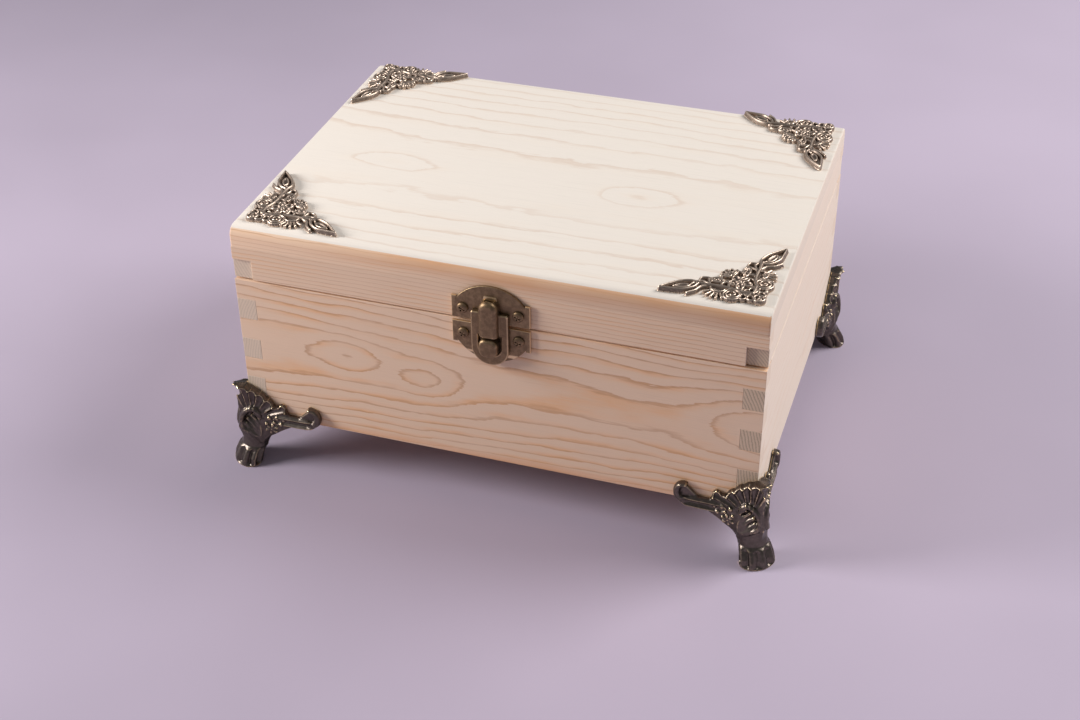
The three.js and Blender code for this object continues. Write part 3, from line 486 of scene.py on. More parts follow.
class Casting:
    """A block of numbers, positive inside the metal, and the skin round it. Lengths are in
    millimetres, and an added shape gives how deep each point lies inside it."""

    def __init__(self, low, high, step):
        self.step = step
        self.axes = [np.arange(a, b + step, step) for a, b in zip(low, high)]
        self.field = np.full([len(axis) for axis in self.axes], -9.0)
        self.grid = np.ix_(*self.axes)

    def add(self, depth, blend=0.0):
        if blend:
            near = np.maximum(blend - np.abs(self.field - depth), 0) / blend
            self.field = np.maximum(self.field, depth) + near * near * blend * 0.25
        else:
            self.field = np.maximum(self.field, depth)

    def cut(self, depth):
        self.field = np.minimum(self.field, -depth)

    def skin(self, name, smooth, reach):
        """One point for each crossed cell, and one face for each crossed edge between cells.
        Its wear is how far each point stands above what lies within reach of it."""
        f = np.clip(self.field, -self.step * 3, self.step * 3)
        nearest = 0.04
        inside = f > 0
        n = [size - 1 for size in f.shape]

        def corner(values, offset):
            return values[tuple(slice(o, o + m) for o, m in zip(offset, n))]

        offsets = [(i, j, k) for i in (0, 1) for j in (0, 1) for k in (0, 1)]
        total = sum(corner(inside, o).astype(np.int8) for o in offsets)
        crossed = (total > 0) & (total < 8)
        cells = np.argwhere(crossed)
        index = np.full(crossed.shape, -1)
        index[crossed] = np.arange(len(cells))
        sums = np.zeros((len(cells), 3))
        count = np.zeros(len(cells))
        for a in offsets:
            for axis in range(3):
                if a[axis]:
                    continue
                b = tuple(v + (axis == k) for k, v in enumerate(a))
                fa, fb = corner(f, a)[crossed], corner(f, b)[crossed]
                hit = (fa > 0) != (fb > 0)
                part = np.clip(fa / np.where(hit, fa - fb, 1), nearest, 1 - nearest)
                at = np.tile(np.array(a, float), (len(cells), 1))
                at[:, axis] = part
                sums += at * hit[:, None]
                count += hit
        start = np.array([axis[0] for axis in self.axes])
        points = start + (cells + sums / count[:, None]) * self.step
        quads = []
        for axis in range(3):
            p, q = [k for k in range(3) if k != axis]
            here = [slice(None)] * 3
            there = [slice(None)] * 3
            here[axis], there[axis] = slice(0, -1), slice(1, None)
            for k in (p, q):
                here[k] = there[k] = slice(1, -1)
            a, b = inside[tuple(here)], inside[tuple(there)]
            ring = []
            for dp, dq in ((0, 0), (1, 0), (1, 1), (0, 1)):
                window = [slice(None)] * 3
                window[p] = slice(dp, n[p] - 1 + dp)
                window[q] = slice(dq, n[q] - 1 + dq)
                ring.append(index[tuple(window)])
            order = 1 if axis != 1 else -1
            for hit, way in ((a & ~b, order), (b & ~a, -order)):
                quads.append(np.stack([r[hit] for r in ring][::way], 1))
        faces = np.concatenate(quads)
        points = relaxed(points, faces, smooth)
        settled = relaxed(points, faces, round((reach / self.step) ** 2))
        mesh = bpy.data.meshes.new(name)
        mesh.vertices.add(len(points))
        mesh.vertices.foreach_set("co", (points * MM).ravel())
        mesh.loops.add(faces.size)
        mesh.loops.foreach_set("vertex_index", faces.ravel())
        mesh.polygons.add(len(faces))
        mesh.polygons.foreach_set("loop_start", np.arange(0, faces.size, 4))
        mesh.polygons.foreach_set("use_smooth", [True] * len(faces))
        mesh.update(calc_edges=True)
        mesh.validate()
        normals = np.empty(points.size)
        mesh.vertex_normals.foreach_get("vector", normals)
        wear = ((points - settled) * normals.reshape(-1, 3)).sum(1)
        mesh.attributes.new("wear", "FLOAT", "POINT").data.foreach_set("value", wear)
        return mesh


def set_casting(node, mesh, place, material, body, slot):
    """Finishes a copy of a casting's mesh, moved by a matrix in millimetres."""
    name = f"{node}_casting"
    made = mesh.copy()
    made.name = name
    place = place.copy()
    place.translation *= MM
    made.transform(place)
    finished(name, made, material, body, [node], slot)


# Flat drawing for reliefs: x and y are arrays of places


def smooth_path(points, steps=10):
    """A smooth curve through the points."""
    points = [np.array(p, float) for p in points]
    points = [2 * points[0] - points[1], *points, 2 * points[-1] - points[-2]]
    made = []
    for a, b, c, d in zip(points, points[1:], points[2:], points[3:]):
        square = 2 * a - 5 * b + 4 * c - d
        cube = 3 * b - a - 3 * c + d
        for step in range(steps):
            t = step / steps
            made.append(0.5 * (2 * b + (c - a) * t + square * t**2 + cube * t**3))
    return np.array([*made, points[-2]])


def polar(centre, angle, reach, reach_y=None):
    """The point at an angle and a distance from a centre."""
    tall = reach if reach_y is None else reach_y
    return centre[0] + reach * math.cos(angle), centre[1] + tall * math.sin(angle)


def arc(centre, reach, start, end, steps):
    """Points along part of a circle, its ends included."""
    return [polar(centre, start + (end - start) * k / steps, reach) for k in range(steps + 1)]


def spiral(centre, outer, inner, turns, start, steps=40):
    """A path that winds inwards."""
    made = []
    for step in range(steps + 1):
        t = step / steps
        made.append(polar(centre, start + turns * 2 * math.pi * t, outer + (inner - outer) * t))
    return np.array(made)


def ring_path(centre, reach, reach_y=None, turn=0.0, steps=20):
    """An ellipse, turned by an angle."""
    cos, sin = math.cos(turn), math.sin(turn)
    made = []
    for step in range(steps + 1):
        x, y = polar((0, 0), step / steps * 2 * math.pi, reach, reach_y)
        made.append((centre[0] + x * cos - y * sin, centre[1] + x * sin + y * cos))
    return np.array(made)


def spot(x, y):
    """A path with no length."""
    return np.array([(x, y), (x, y)])


def away(x, y, path):
    """Distance to a path and how far along it, from 0 to 1."""
    best = np.full(np.broadcast(x, y).shape, 1e9)
    along = np.zeros_like(best)
    lengths = np.linalg.norm(np.diff(path, axis=0), axis=1)
    total = max(lengths.sum(), 1e-9)
    gone = 0.0
    for a, b, length in zip(path, path[1:], lengths):
        d = (b - a) / max(length, 1e-9)
        t = np.clip((x - a[0]) * d[0] + (y - a[1]) * d[1], 0, length)
        distance = np.hypot(x - a[0] - d[0] * t, y - a[1] - d[1] * t)
        nearer = distance < best
        best = np.where(nearer, distance, best)
        along = np.where(nearer, (gone + t) / total, along)
        gone += length
    return best, along


def bead(x, y, path, reach, height, taper=1.0, sharp=0.5):
    """A rounded ridge along a path. taper is its end's width as a share of its start's."""
    distance, along = away(x, y, path)
    wide = reach * (1 + (taper - 1) * along)
    return height * np.clip(1 - (distance / wide) ** 2, 0, None) ** sharp


def within(x, y, outline):
    """How deep a place lies inside a closed outline; negative outside."""
    outline = np.asarray(outline, float)
    closed = np.vstack([outline, outline[:1]])
    distance, _ = away(x, y, closed)
    inside = np.zeros(distance.shape, bool)
    for a, b in zip(closed, closed[1:]):
        if a[1] == b[1]:
            continue
        spans = (a[1] > y) != (b[1] > y)
        inside ^= spans & (x < (b[0] - a[0]) * (y - a[1]) / (b[1] - a[1]) + a[0])
    return np.where(inside, distance, -distance)


def least(*depths):
    """Depth inside several shapes at once."""
    return functools.reduce(np.minimum, depths)


def eased(a, b, reach):
    """Depth inside two faces whose shared edge is rounded, from the depths inside each."""
    outside = np.hypot(np.maximum(reach - a, 0), np.maximum(reach - b, 0))
    return np.where((a > reach) & (b > reach), np.minimum(a, b), reach - outside)


# Pieces


CORNERS = {
    "back_right": (1, 1, 0.0),
    "back_left": (-1, 1, math.pi / 2),
    "front_left": (-1, -1, math.pi),
    "front_right": (1, -1, -math.pi / 2),
}


def board_outline(length, height, notches, depth, recess):
    """A board's face, its ends notched in the height ranges given."""
    half = length / 2
    right = [(half - recess, 0.0)]
    for low, high in sorted(notches):
        if low <= 0:
            right = [(half - depth, 0.0), (half - depth, high), (half - recess, high)]
        elif high >= height:
            right += [(half - recess, low), (half - depth, low), (half - depth, height)]
        else:
            right += [(half - recess, low), (half - depth, low)]
            right += [(half - depth, high), (half - recess, high)]
    if right[-1][1] < height:
        right.append((half - recess, height))
    return right + [(-x, z) for x, z in reversed(right)]


def board(name, length, height, notches, recess, place, material, body, slot):
    """Makes one finger-jointed board."""
    sizes = bpy.context.scene.box_wood
    outline = board_outline(length, height, notches, sizes.board + sizes.joint, recess)
    mesh = to_mesh(name, prism(outline, sizes.board, sizes.arris), place)
    return finished(name, mesh, material, body, [name], slot)


def wall_places(length, width, bottom):
    """Where the outer face of each wall stands."""
    return {
        "front": shift(0, -width / 2, bottom),
        "back": shift(0, width / 2, bottom, math.pi),
        "left": shift(-length / 2, 0, bottom, -math.pi / 2),
        "right": shift(length / 2, 0, bottom, math.pi / 2),
    }


class BOX_OT_body(bpy.types.Operator):
    """Makes the body's four walls and its bottom panel"""

    bl_idname = "box.body"
    bl_label = "Body"

    def execute(self, context):
        sizes = context.scene.box_wood
        low, high = cad_box("base_front_board")
        length, bottom, height = high.x - low.x, low.z, high.z - low.z - sizes.parting
        side_low, side_high = cad_box("base_right_board")
        width = side_high.y - side_low.y
        pitch = (height + sizes.parting) / sizes.fingers
        half = sizes.joint / 2
        ranges = [(k * pitch - half, (k + 1) * pitch + half) for k in range(sizes.fingers)]
        odd, even = ranges[1::2], ranges[0::2]
        places = wall_places(length, width, bottom)
        walls = {
            # The front board's low band is painted bounce light from the floor
            "front": (length, odd, wood("wood_front", FRONT_SWELLS, LOW_BOUNCE_GLOW), "wood_warm"),
            "back": (length, odd, wood("wood_back"), "wood_warm"),
            "left": (width, even, wood("wood_left"), "wood_pale"),
            "right": (width, even, wood("wood_right"), "wood_pale"),
        }
        for side, (reach, notches, material, slot) in walls.items():
            name, place = f"base_{side}_board", places[side]
            board(name, reach, height, notches, 0.0, place, material, "base", slot)
        self.bottom_panel(sizes, length, width, wood("plywood"))
        return {"FINISHED"}

    def bottom_panel(self, sizes, length, width, ply):
        low, high = cad_box("base_bottom_panel")
        play = 0.1
        half_x = length / 2 - sizes.board - play
        half_y = width / 2 - sizes.board - play
        outline = [(-half_x, low.z), (half_x, low.z), (half_x, high.z), (-half_x, high.z)]
        form = prism(outline, 2 * half_y, sizes.arris)
        mesh = to_mesh("base_bottom_panel_face", form, shift(0, -half_y, 0))
        finished("base_bottom_panel_face", mesh, ply, "base", ["base_bottom_panel"], "plywood")


class BOX_OT_lid(bpy.types.Operator):
    """Makes the lid's four rails and its rounded top panel"""

    bl_idname = "box.lid"
    bl_label = "Lid"

    def execute(self, context):
        sizes = context.scene.box_wood
        low, high = cad_box("lid_front_rail")
        top_low, top_high = cad_box("lid_top_panel")
        length, bottom = high.x - low.x, low.z
        width = top_high.y - top_low.y
        height = top_low.z - bottom - sizes.joint
        low_notch = [(-1.0, sizes.lid_finger + sizes.joint / 2)]
        high_notch = [(sizes.lid_finger - sizes.joint / 2, height + 1)]
        front = wood("wood_front_lid", LID_SWELLS, TOP_STAIN)
        back = wood("wood_back_lid", LID_SWELLS)
        left, right = (wood(f"wood_{side}_rail") for side in ("left", "right"))
        places = wall_places(length, width, bottom)
        rails = {
            "front": (length, low_notch, 0.0, front, "wood_warm"),
            "back": (length, low_notch, 0.0, back, "wood_warm"),
            "left": (width, high_notch, self.inset("left", width), left, "wood_pale"),
            "right": (width, high_notch, self.inset("right", width), right, "wood_pale"),
        }
        for side, (reach, notches, recess, material, slot) in rails.items():
            name, place = f"lid_{side}_rail", places[side]
            board(name, reach, height, notches, recess, place, material, "lid", slot)
        top = wood("wood_top", LID_SWELLS)
        self.top_panel(sizes, top_low, top_high, (top, front, back))
        return {"FINISHED"}

    def inset(self, side, width):
        """How far a side rail's fingers lie behind the faces of the long rails."""
        low, high = cad_box(f"lid_{side}_rail")
        return (width - high.y + low.y) / 2

    def top_panel(self, sizes, low, high, woods):
        thick = high.z - low.z
        half = (high.y - low.y) / 2
        reach = sizes.top_round
        steps = 12
        outline = [(-half, 0.0), (half, 0.0)]
        outline += arc((half - reach, thick - reach), reach, 0, math.pi / 2, steps)
        outline += [(-y, z) for y, z in reversed(outline[2:])]
        form = prism(outline, high.x - low.x)
        rims = []
        for edge in form.edges:
            a, b = (vert.co for vert in edge.verts)
            if abs(a.y - b.y) < TINY and max(a.z, b.z) > 0.01:
                rims.append(edge)
        settings = {"segments": 4, "profile": 0.5, "affect": "EDGES", "clamp_overlap": True}
        bmesh.ops.bevel(form, geom=rims, offset=sizes.side_round, **settings)
        mesh = to_mesh("lid_top_panel_face", form, shift(high.x, 0, low.z, math.pi / 2))
        node = "lid_top_panel"
        piece = finished("lid_top_panel_face", mesh, woods[0], "lid", [node], "wood_pale", SHARP)
        for face_wood in woods[1:]:
            piece.data.materials.append(face_wood)
        for face in piece.data.polygons:
            if face.normal.z < 0.82 and abs(face.normal.y) > 0.5:
                face.material_index = 1 if face.normal.y < 0 else 2


# The foot's drawing: distances from the corner along a wall, and heights above the box's
# bottom edge. The rim runs from the corner out to the arm, and the underside back again.
FOOT_RIM = [
    *((-9, 16), (-4, 16), (-1.6, 15.2), (0.5, 14.6), (1.6, 13.6), (2.5, 13.9), (3.7, 13.1)),
    *((4.8, 11.9), (5.7, 12.0), (6.9, 10.9), (7.9, 9.3), (8.8, 9.3), (10.2, 7.7), (10.9, 6.1)),
    *((12.2, 6.0), (13.2, 7.3), (14.6, 7.6), (15.8, 6.3), (15.9, 4.5), (16.6, 3.2)),
]
FOOT_UNDERSIDE = [
    *((17, -3.0), (13.8, -4.8), (10.8, -6.8), (7.6, -8.8)),
    *((5.8, -10.8), (5.2, -14), (-9, -14)),
]

# How far the casting stands out by the corner, at each of these heights
FOOT_HEIGHTS = [-14, -10.5, -5.2, 1.6, 7.4, 11.9, 14.8, 18]
FOOT_STANDS = [3.0, 3.4, 4.6, 3.8, 3.6, 4.0, 4.7, 4.7]
FOOT_THINNEST = 0.5
WING_RUN = 17
RIM_ROUND = 0.6

# Where the fan's ridges meet, and their angles
FAN_FOCUS = (1.2, -1.5)
FAN_RIDGES = [-0.1, 0.39, 0.67, 1.02, 1.31, 1.544, 1.75, 1.97]
FLUTE_DEEP = 1.15
LIP_HIGH = 0.95

KNEE_SCROLL = [
    *((4.6, 1.0), (4.3, 2.6), (2.8, 4.3), (1.0, 4.2), (-0.8, 2.8), (-2.2, 0.4)),
    *((-2.5, -2.4), (-1.4, -5.0), (1.2, -6.8), (3.9, -8.0), (4.8, -10.3)),
]
KNEE_HOLLOW = [
    *((4.4, 1.2), (1.2, 3.2), (-1.6, 0.2), (-1.8, -3.2)),
    *((1.6, -6.2), (4.8, -7.6), (5.4, -3.2), (4.4, 1.2)),
]
KNEE_CRESCENTS = [
    [(4.6, -7.0), (5.0, -4.4), (3.6, -1.0), (1.6, 1.2)],
    [(4.2, -7.3), (3.6, -5.0), (1.8, -2.4), (-0.2, -0.4)],
    [(3.6, -7.4), (2.0, -5.9), (0.4, -4.2), (-0.9, -2.6)],
]
KNEE_BEADS = [
    *((11.9, 1.3, 1.05), (8.7, 0.9, 0.95), (13.4, -1.5, 1.0)),
    *((10.6, -0.8, 0.75), (7.6, -1.6, 0.7), (14.6, 0.9, 0.8)),
]
FLOWER = (9.4, -4.0)
PETALS = 6
ARM_LINE = [
    *((12, 0.0), (17, 0.1), (22, 0.2), (26, 0.5)),
    *((28.4, 2.0), (28.9, 4.6), (27.9, 6.9), (25.8, 7.7)),
]
HOOK_WEB = [(28.6, 5.8), (26.0, 7.6), (20.4, 2.2), (26.4, 0.6)]
WEB_THICK = 1.5

# The leg's height, the middle of its section along the diagonal, and its half depth and width
LEG_RINGS = [
    (-21.4, 3.6, 5.1, 7.0),
    (-20.3, 3.5, 5.4, 7.4),
    (-18.0, 3.0, 5.4, 7.1),
    (-15.5, 1.8, 5.4, 6.6),
    (-14.0, 0.9, 5.4, 6.2),
    (-13.2, 0.0, 5.1, 5.5),
    (-10.5, -1.4, 5.6, 5.9),
    (-7.5, -1.8, 5.8, 6.6),
    (-1.3, -2.6, 4.5, 6.4),
    (0, -2.6, 4.0, 6.0),
]

# The toes' flutes: how deep they are, how close together, and how far round they go
TOE_DEEP = 1.3
TOE_CLOSE = 4.2
TOE_SPAN = 2.2

# The ledge under the box, measured back from the corner, and its two screw holes
LEDGE_LONG = 21
LEDGE_SLANT = 27
LEDGE_LOW = 2.2
LEDGE_HOLES = ((-15, -3.3), (-3.3, -15))
LEDGE_HOLE = 1.1


def hump(value, middle, spread):
    """1 at the middle, falling away smoothly on both sides."""
    return np.exp(-(((value - middle) / spread) ** 2))


def step_up(value, start, run):
    """0 before the start, rising to 1 over the run."""
    return np.clip((value - start) / run, 0, 1)


class BOX_OT_feet(bpy.types.Operator):
    """Casts the four corner feet"""

    bl_idname = "box.feet"
    bl_label = "Corner feet"

    def execute(self, context):
        sizes = context.scene.box_foot
        bronze = metal("cast_bronze", "bronze", 0.2, (0.022, 0.08), 0.5, 1.0, True)
        mesh = self.casting(sizes).skin("foot", 2, 0.55)
        low, high = cad_box("base_front_board")
        half_length = (high.x - low.x) / 2
        half_width = -low.y
        for name, (x, y, turn) in CORNERS.items():
            place = shift(x * half_length, y * half_width, low.z, turn)
            set_casting(f"foot_{name}", mesh, place, bronze, "base", "cast_bronze")
        return {"FINISHED"}

    def face(self, sizes, u, z):
        """How far the casting stands out from the wall, at a distance from the corner and
        a height above the box's bottom edge, and how deep that place lies in its outline."""
        wing = within(u, z, FOOT_RIM + FOOT_UNDERSIDE)
        arm, arm_out = self.arm(u, z)
        knee = self.knee(np.maximum(u, -4.2), z)
        u = np.maximum(u, -4.4)
        near = np.clip(1 - u / WING_RUN, 0, 1)
        flat = sizes.wing * 0.8
        out = flat + (np.interp(z, FOOT_HEIGHTS, FOOT_STANDS) - flat) * near**1.7
        out = out + self.fan(u, z, wing)
        out = out + knee
        edge = np.maximum(wing, arm)
        out = np.where(wing > 0, out, 0.4)
        out = np.where(arm > 0, np.maximum(arm_out, out), out)
        out = out - RIM_ROUND * np.clip(1 - edge / RIM_ROUND, 0, 1) ** 2
        return np.maximum(out, FOOT_THINNEST), edge

    def fan(self, u, z, wing):
        """A shell of hollow flutes with sharp ridges between them, and a flared lip."""
        angle = np.arctan2(z - FAN_FOCUS[1], u - FAN_FOCUS[0])
        reach = np.hypot(u - FAN_FOCUS[0], z - FAN_FOCUS[1])
        count = np.interp(angle, FAN_RIDGES, np.arange(len(FAN_RIDGES)))
        flute = np.abs(np.sin(count * math.pi)) ** 0.75
        shown = step_up(reach, 5.5, 3) * step_up(z - 0.2 * u, -1.5, 2)
        lip = hump(wing, 0.55, 0.45) * step_up(z, 2.6, 1.5)
        return shown * (0.3 - FLUTE_DEEP * flute) + LIP_HIGH * lip

    def knee(self, u, z):
        """The scroll on the knee with its crescents, the beads and the small flower."""
        out = -1.1 * np.clip(within(u, z, smooth_path(KNEE_HOLLOW)) / 0.8, 0, 1)
        ridge = bead(u, z, smooth_path(KNEE_SCROLL), 1.15, 1.3)
        for points in KNEE_CRESCENTS:
            ridge = np.maximum(ridge, bead(u, z, smooth_path(points), 0.85, 1.35))
        ridge = np.maximum(ridge, bead(u, z, spiral((3.4, 2.0), 1.0, 0.2, 0.9, 1.0), 0.6, 1.1))
        out = out + ridge
        for x, y, wide in KNEE_BEADS:
            out = out + bead(u, z, spot(x, y), wide, 1.15)
        flower = bead(u, z, spot(*FLOWER), 0.6, 1.0)
        for petal in range(PETALS):
            way = petal / PETALS * 2 * math.pi + 0.3
            path = np.array([polar(FLOWER, way, 0.9, 0.8), polar(FLOWER, way, 2.0, 1.8)])
            flower = np.maximum(flower, bead(u, z, path, 0.62, 0.8, 1.2))
        return out + flower

    def arm(self, u, z):
        """The arm with its two long ridges, and its end rolled into a hook."""
        distance, along = away(u, z, smooth_path(ARM_LINE))
        hook = step_up(along, 0.5, 0.14)
        reach = 2.9 - 0.5 * step_up(along, 0, 0.5) - 1.0 * hook - 0.55 * step_up(along, 0.8, 0.2)
        ridged = 1.9 + 1.0 * hump(distance, 1.55, 0.5) - 0.3 * hump(distance, 0, 0.5)
        rolled = 1.7 + 1.35 * np.sqrt(np.clip(1 - (distance / reach) ** 2, 0, 1))
        depth = reach - distance
        out = ridged + (rolled - ridged) * hook
        web = within(u, z, HOOK_WEB)
        return np.maximum(depth, web), np.where((depth <= 0) & (web > 0), WEB_THICK, out)

    def casting(self, sizes):
        casting = Casting((-32.5, -32.5, -sizes.height - 0.6), (9.6, 9.6, 18.0), sizes.grain)
        x, y, z = casting.grid
        out, edge = self.face(sizes, -casting.axes[0][:, None], casting.axes[2][None, :])
        surface = eased(np.expand_dims(out, 1) - y, np.expand_dims(out, 0) - x, sizes.corner)
        for here, far, axis, blend in ((x, y, 1, 0.0), (y, x, 0, 0.5)):
            depth = least(surface, far - sizes.stand, np.expand_dims(edge, axis), far - here + 0.3)
            casting.add(depth, blend)
        self.leg(casting)
        self.ledge(casting, sizes.stand)
        casting.cut(sizes.stand - np.maximum(np.maximum(x, y), -z))
        casting.cut(-z - sizes.height)
        return casting

    def leg(self, casting):
        x, y, z = casting.grid
        table = np.array(LEG_RINGS)
        height = casting.axes[2]
        columns = (np.interp(height, table[:, 0], table[:, k])[None, None, :] for k in (1, 2, 3))
        middle, deep, wide = columns
        along = (x + y) / math.sqrt(2) - middle
        across = (y - x) / math.sqrt(2)
        angle = np.arctan2(across / wide, along / deep)
        toe = step_up(-height, 13.4, 1.4) * step_up(height, -20.7, 0.7)
        flutes = TOE_DEEP * (1 - np.abs(np.cos(angle * TOE_CLOSE)) ** 1.4) * toe[None, None, :]
        reach = np.sqrt((along / deep) ** 2 + (across / wide) ** 2)
        depth = (1 - reach) * np.minimum(deep, wide) - flutes * (np.abs(angle) < TOE_SPAN)
        casting.add(np.minimum(depth, -0.35 - z), 1.6)

    def ledge(self, casting, stand):
        """The flange under the box, with its two screw holes."""
        x, y, z = casting.grid
        slant = (LEDGE_SLANT + x + y) / math.sqrt(2)
        depth = least(LEDGE_LONG + x, LEDGE_LONG + y, slant, -stand - z, z + LEDGE_LOW, 1.2 - x, 1.2 - y)
        for at in LEDGE_HOLES:
            depth = np.minimum(depth, np.hypot(x - at[0], y - at[1]) - LEDGE_HOLE)
        casting.add(depth)


# The ornament's drawing: places along one leg and in from the lid's edge. A stem's points,
# its half width, its height as a share of the whole relief, and its taper
STEMS = [
    ([(24.4, 6.4), (27.2, 7.0), (31.0, 5.4), (34.4, 2.4), (36.6, -0.1)], 0.8, 1.0, 0.75),
    ([(24.4, 6.0), (25.6, 3.2), (28.8, 0.8), (32.6, 0.2), (36.6, -0.1)], 0.75, 1.0, 0.75),
    ([(23.4, 6.2), (25.4, 6.3), (26.6, 5.0)], 0.8, 0.9, 0.6),
    ([(21.4, 5.9), (23.4, 4.4), (24.6, 1.8), (26.8, -0.4)], 0.85, 0.85, 0.7),
    ([(5.2, 5.2), (9.2, 5.0), (13.2, 6.1), (17.6, 6.4), (21.4, 6.2), (25, 6.4)], 0.85, 1.0, 1.0),
    ([(17.4, 6.6), (20.2, 7.0), (23.2, 8.2), (25.4, 7.6)], 0.6, 0.8, 1.0),
    ([(20.6, 7.2), (21.4, 10.2), (18.8, 11.6), (16.4, 10.6)], 0.6, 0.85, 1.0),
    ([(24.6, 7.8), (24.2, 10.2), (21.6, 10.8), (20.2, 9.4)], 0.6, 0.85, 1.0),
    ([(17.4, 10.8), (17.6, 13.2), (15.6, 14.2)], 0.6, 0.85, 1.0),
    ([(13.6, 6.2), (14.4, 8.6), (13.0, 9.9)], 0.6, 0.85, 1.0),
    ([(16.6, 6.6), (16.4, 9.0), (14.0, 10.4)], 0.6, 0.85, 1.0),
    ([(9.6, 5.2), (9.4, 7.4), (9.8, 8.8)], 0.6, 0.85, 1.0),
    ([(20.2, 9.2), (18.0, 9.0), (16.2, 9.4)], 0.6, 0.85, 1.0),
]
LEAF = [(26.2, 4.4), (28.4, 5.2), (31.2, 4.0), (32.6, 2.2), (30.4, 1.7), (27.8, 2.6), (26.2, 4.4)]

# A ring's centre, its reach along and across, its turn, its half width and its height
CURL = (12.0, 2.6)
RINGS = [
    (CURL, 2.95, 2.95, 0.0, 0.5, 0.8),
    ((8.2, 2.4), 1.2, 1.5, 0.0, 0.5, 0.8),
    ((7.0, 5.6), 1.5, 1.5, 0.0, 0.5, 0.85),
    ((5.3, 2.2), 1.5, 1.25, 0.4, 0.48, 0.85),
    ((2.6, 2.6), 1.9, 1.9, 0.0, 0.6, 0.95),
]
SHEETS = [
    ([(16.5, 9), (18, 9), (20.6, 10.6), (18.5, 11.8), (16.5, 11)], 0.4),
    ([(7.5, 7.5), (13.5, 9), (13.5, 13.5), (9, 13.5)], 0.35),
    ([(14.8, 5.8), (15, 2.6), (18, 0.9), (20.6, 2.4), (20.4, 5.6)], 0.38),
    ([(22.6, 5.2), (24.8, 6.8), (25.6, 5.4), (24.2, 4.2)], 0.4),
    ([(4.4, 3.4), (7.2, 3.4), (7.4, 6.2), (4.6, 5.8)], 0.4),
]
SHELL_ROOT = (17.3, 5.2)
ROSE = (10.8, 10.8)
FAN_ROOT = (14.2, 14.2)


class BOX_OT_ornaments(bpy.types.Operator):
    """Casts the four pierced corner ornaments"""

    bl_idname = "box.ornaments"
    bl_label = "Corner ornaments"

    def execute(self, context):
        sizes = context.scene.box_ornament
        finish = metal("antique_filigree", "filigree", 0.3, (-0.005, 0.05), 0.4, cast=True)
        reach = sizes.leg + 1.6
        casting = Casting((-1.6, -1.6, -0.3), (reach, reach, sizes.relief + 0.3), sizes.grain)
        x, y, z = casting.grid
        height = self.drawing(sizes.relief, np.maximum(x, y)[:, :, 0], np.minimum(x, y)[:, :, 0])
        casting.add(np.minimum(height[:, :, None] - z, z))
        mesh = casting.skin("ornament", 1, 0.4)
        for name, (x, y, turn) in CORNERS.items():
            low, high = cad_box(f"ornament_{name}")
            corner = (high.x if x > 0 else low.x, high.y if y > 0 else low.y)
            inset = sizes.leg * 0.01
            place = shift(corner[0] - x * inset, corner[1] - y * inset, low.z - 0.2, turn + math.pi)
            set_casting(f"ornament_{name}", mesh, place, finish, "lid", "antique_filigree")
        return {"FINISHED"}

    def drawing(self, full, a, b):
        """The ornament's height, drawn along one leg and repeated across the diagonal."""
        height = np.full(a.shape, -1.0)

        def lay(path, wide, high, taper=1.0):
            nonlocal height
            ridge = bead(a, b, path, wide, full * high, taper)
            distance = away(a, b, path)[0]
            height = np.maximum(height, np.where(distance < wide, np.maximum(ridge, 0.35), -1))

        def sheet(outline, high):
            nonlocal height
            deep = within(a, b, outline)
            height = np.maximum(height, np.where(deep > 0, full * high, -1))

        def dish(outline, high, sink):
            """A leaf with a raised rim and a sunken middle that swells along its vein."""
            nonlocal height
            deep = within(a, b, outline)
            form = full * high - sink * np.clip((deep - 0.5) / 0.5, 0, 1)
            edge = np.sqrt(np.clip(1 - (np.clip(0.45 - deep, 0, 0.45) / 0.45) ** 2, 0, 1))
            height = np.maximum(height, np.where(deep > 0, form * edge, -1))

        for points, wide, high, taper in STEMS:
            lay(smooth_path(points), wide, high, taper)
        for centre, reach, reach_y, turn, wide, high in RINGS:
            lay(ring_path(centre, reach, reach_y, turn), wide, high)
        for outline, high in SHEETS:
            sheet(outline, high)
        dish(smooth_path(LEAF), 0.8, 0.5)
        sheet(ring_path(CURL, 2.7), 0.42)
        lay(spiral(CURL, 3.0, 0.5, 1.85, 0.9, 60), 0.55, 0.95, 0.8)
        lay(spiral((2.6, 2.6), 1.2, 0.2, 0.9, 2), 0.45, 0.8)
        lay(spiral((18.8, 9.9), 1.4, 0.4, 1.1, 0.4), 0.45, 0.75)
        for step in range(7):
            way = math.radians(-158 + step * 21)
            tip = polar(SHELL_ROOT, way, 5.3, 5.4)
            if tip[0] >= 13.6:
                lay(np.array([polar(SHELL_ROOT, way, 1.2), tip]), 0.5, 0.72, 1.25)
        lay(spiral(SHELL_ROOT, 2.6, 2.6, 0.46, math.radians(-165)), 0.42, 0.95)
        for petal in range(5):
            way = math.pi / 4 + petal / 5 * 2 * math.pi
            path = ring_path(polar(ROSE, way, 2.5), 1.65, 1.3, way)
            lay(path, 0.46, 0.9)
            dish(path, 0.55, 0.3)
        lay(spot(*ROSE), 1.0, 1.0)
        for step in range(-2, 3):
            way = math.radians(45 + step * 30)
            tip = polar(FAN_ROOT, way, 4.3)
            middle = ((FAN_ROOT[0] + tip[0]) / 2 + 0.3, (FAN_ROOT[1] + tip[1]) / 2 + 0.3)
            path = ring_path(middle, 1.9, 0.85, way)
            lay(path, 0.45, 0.85)
            sheet(path, 0.4)
        return height


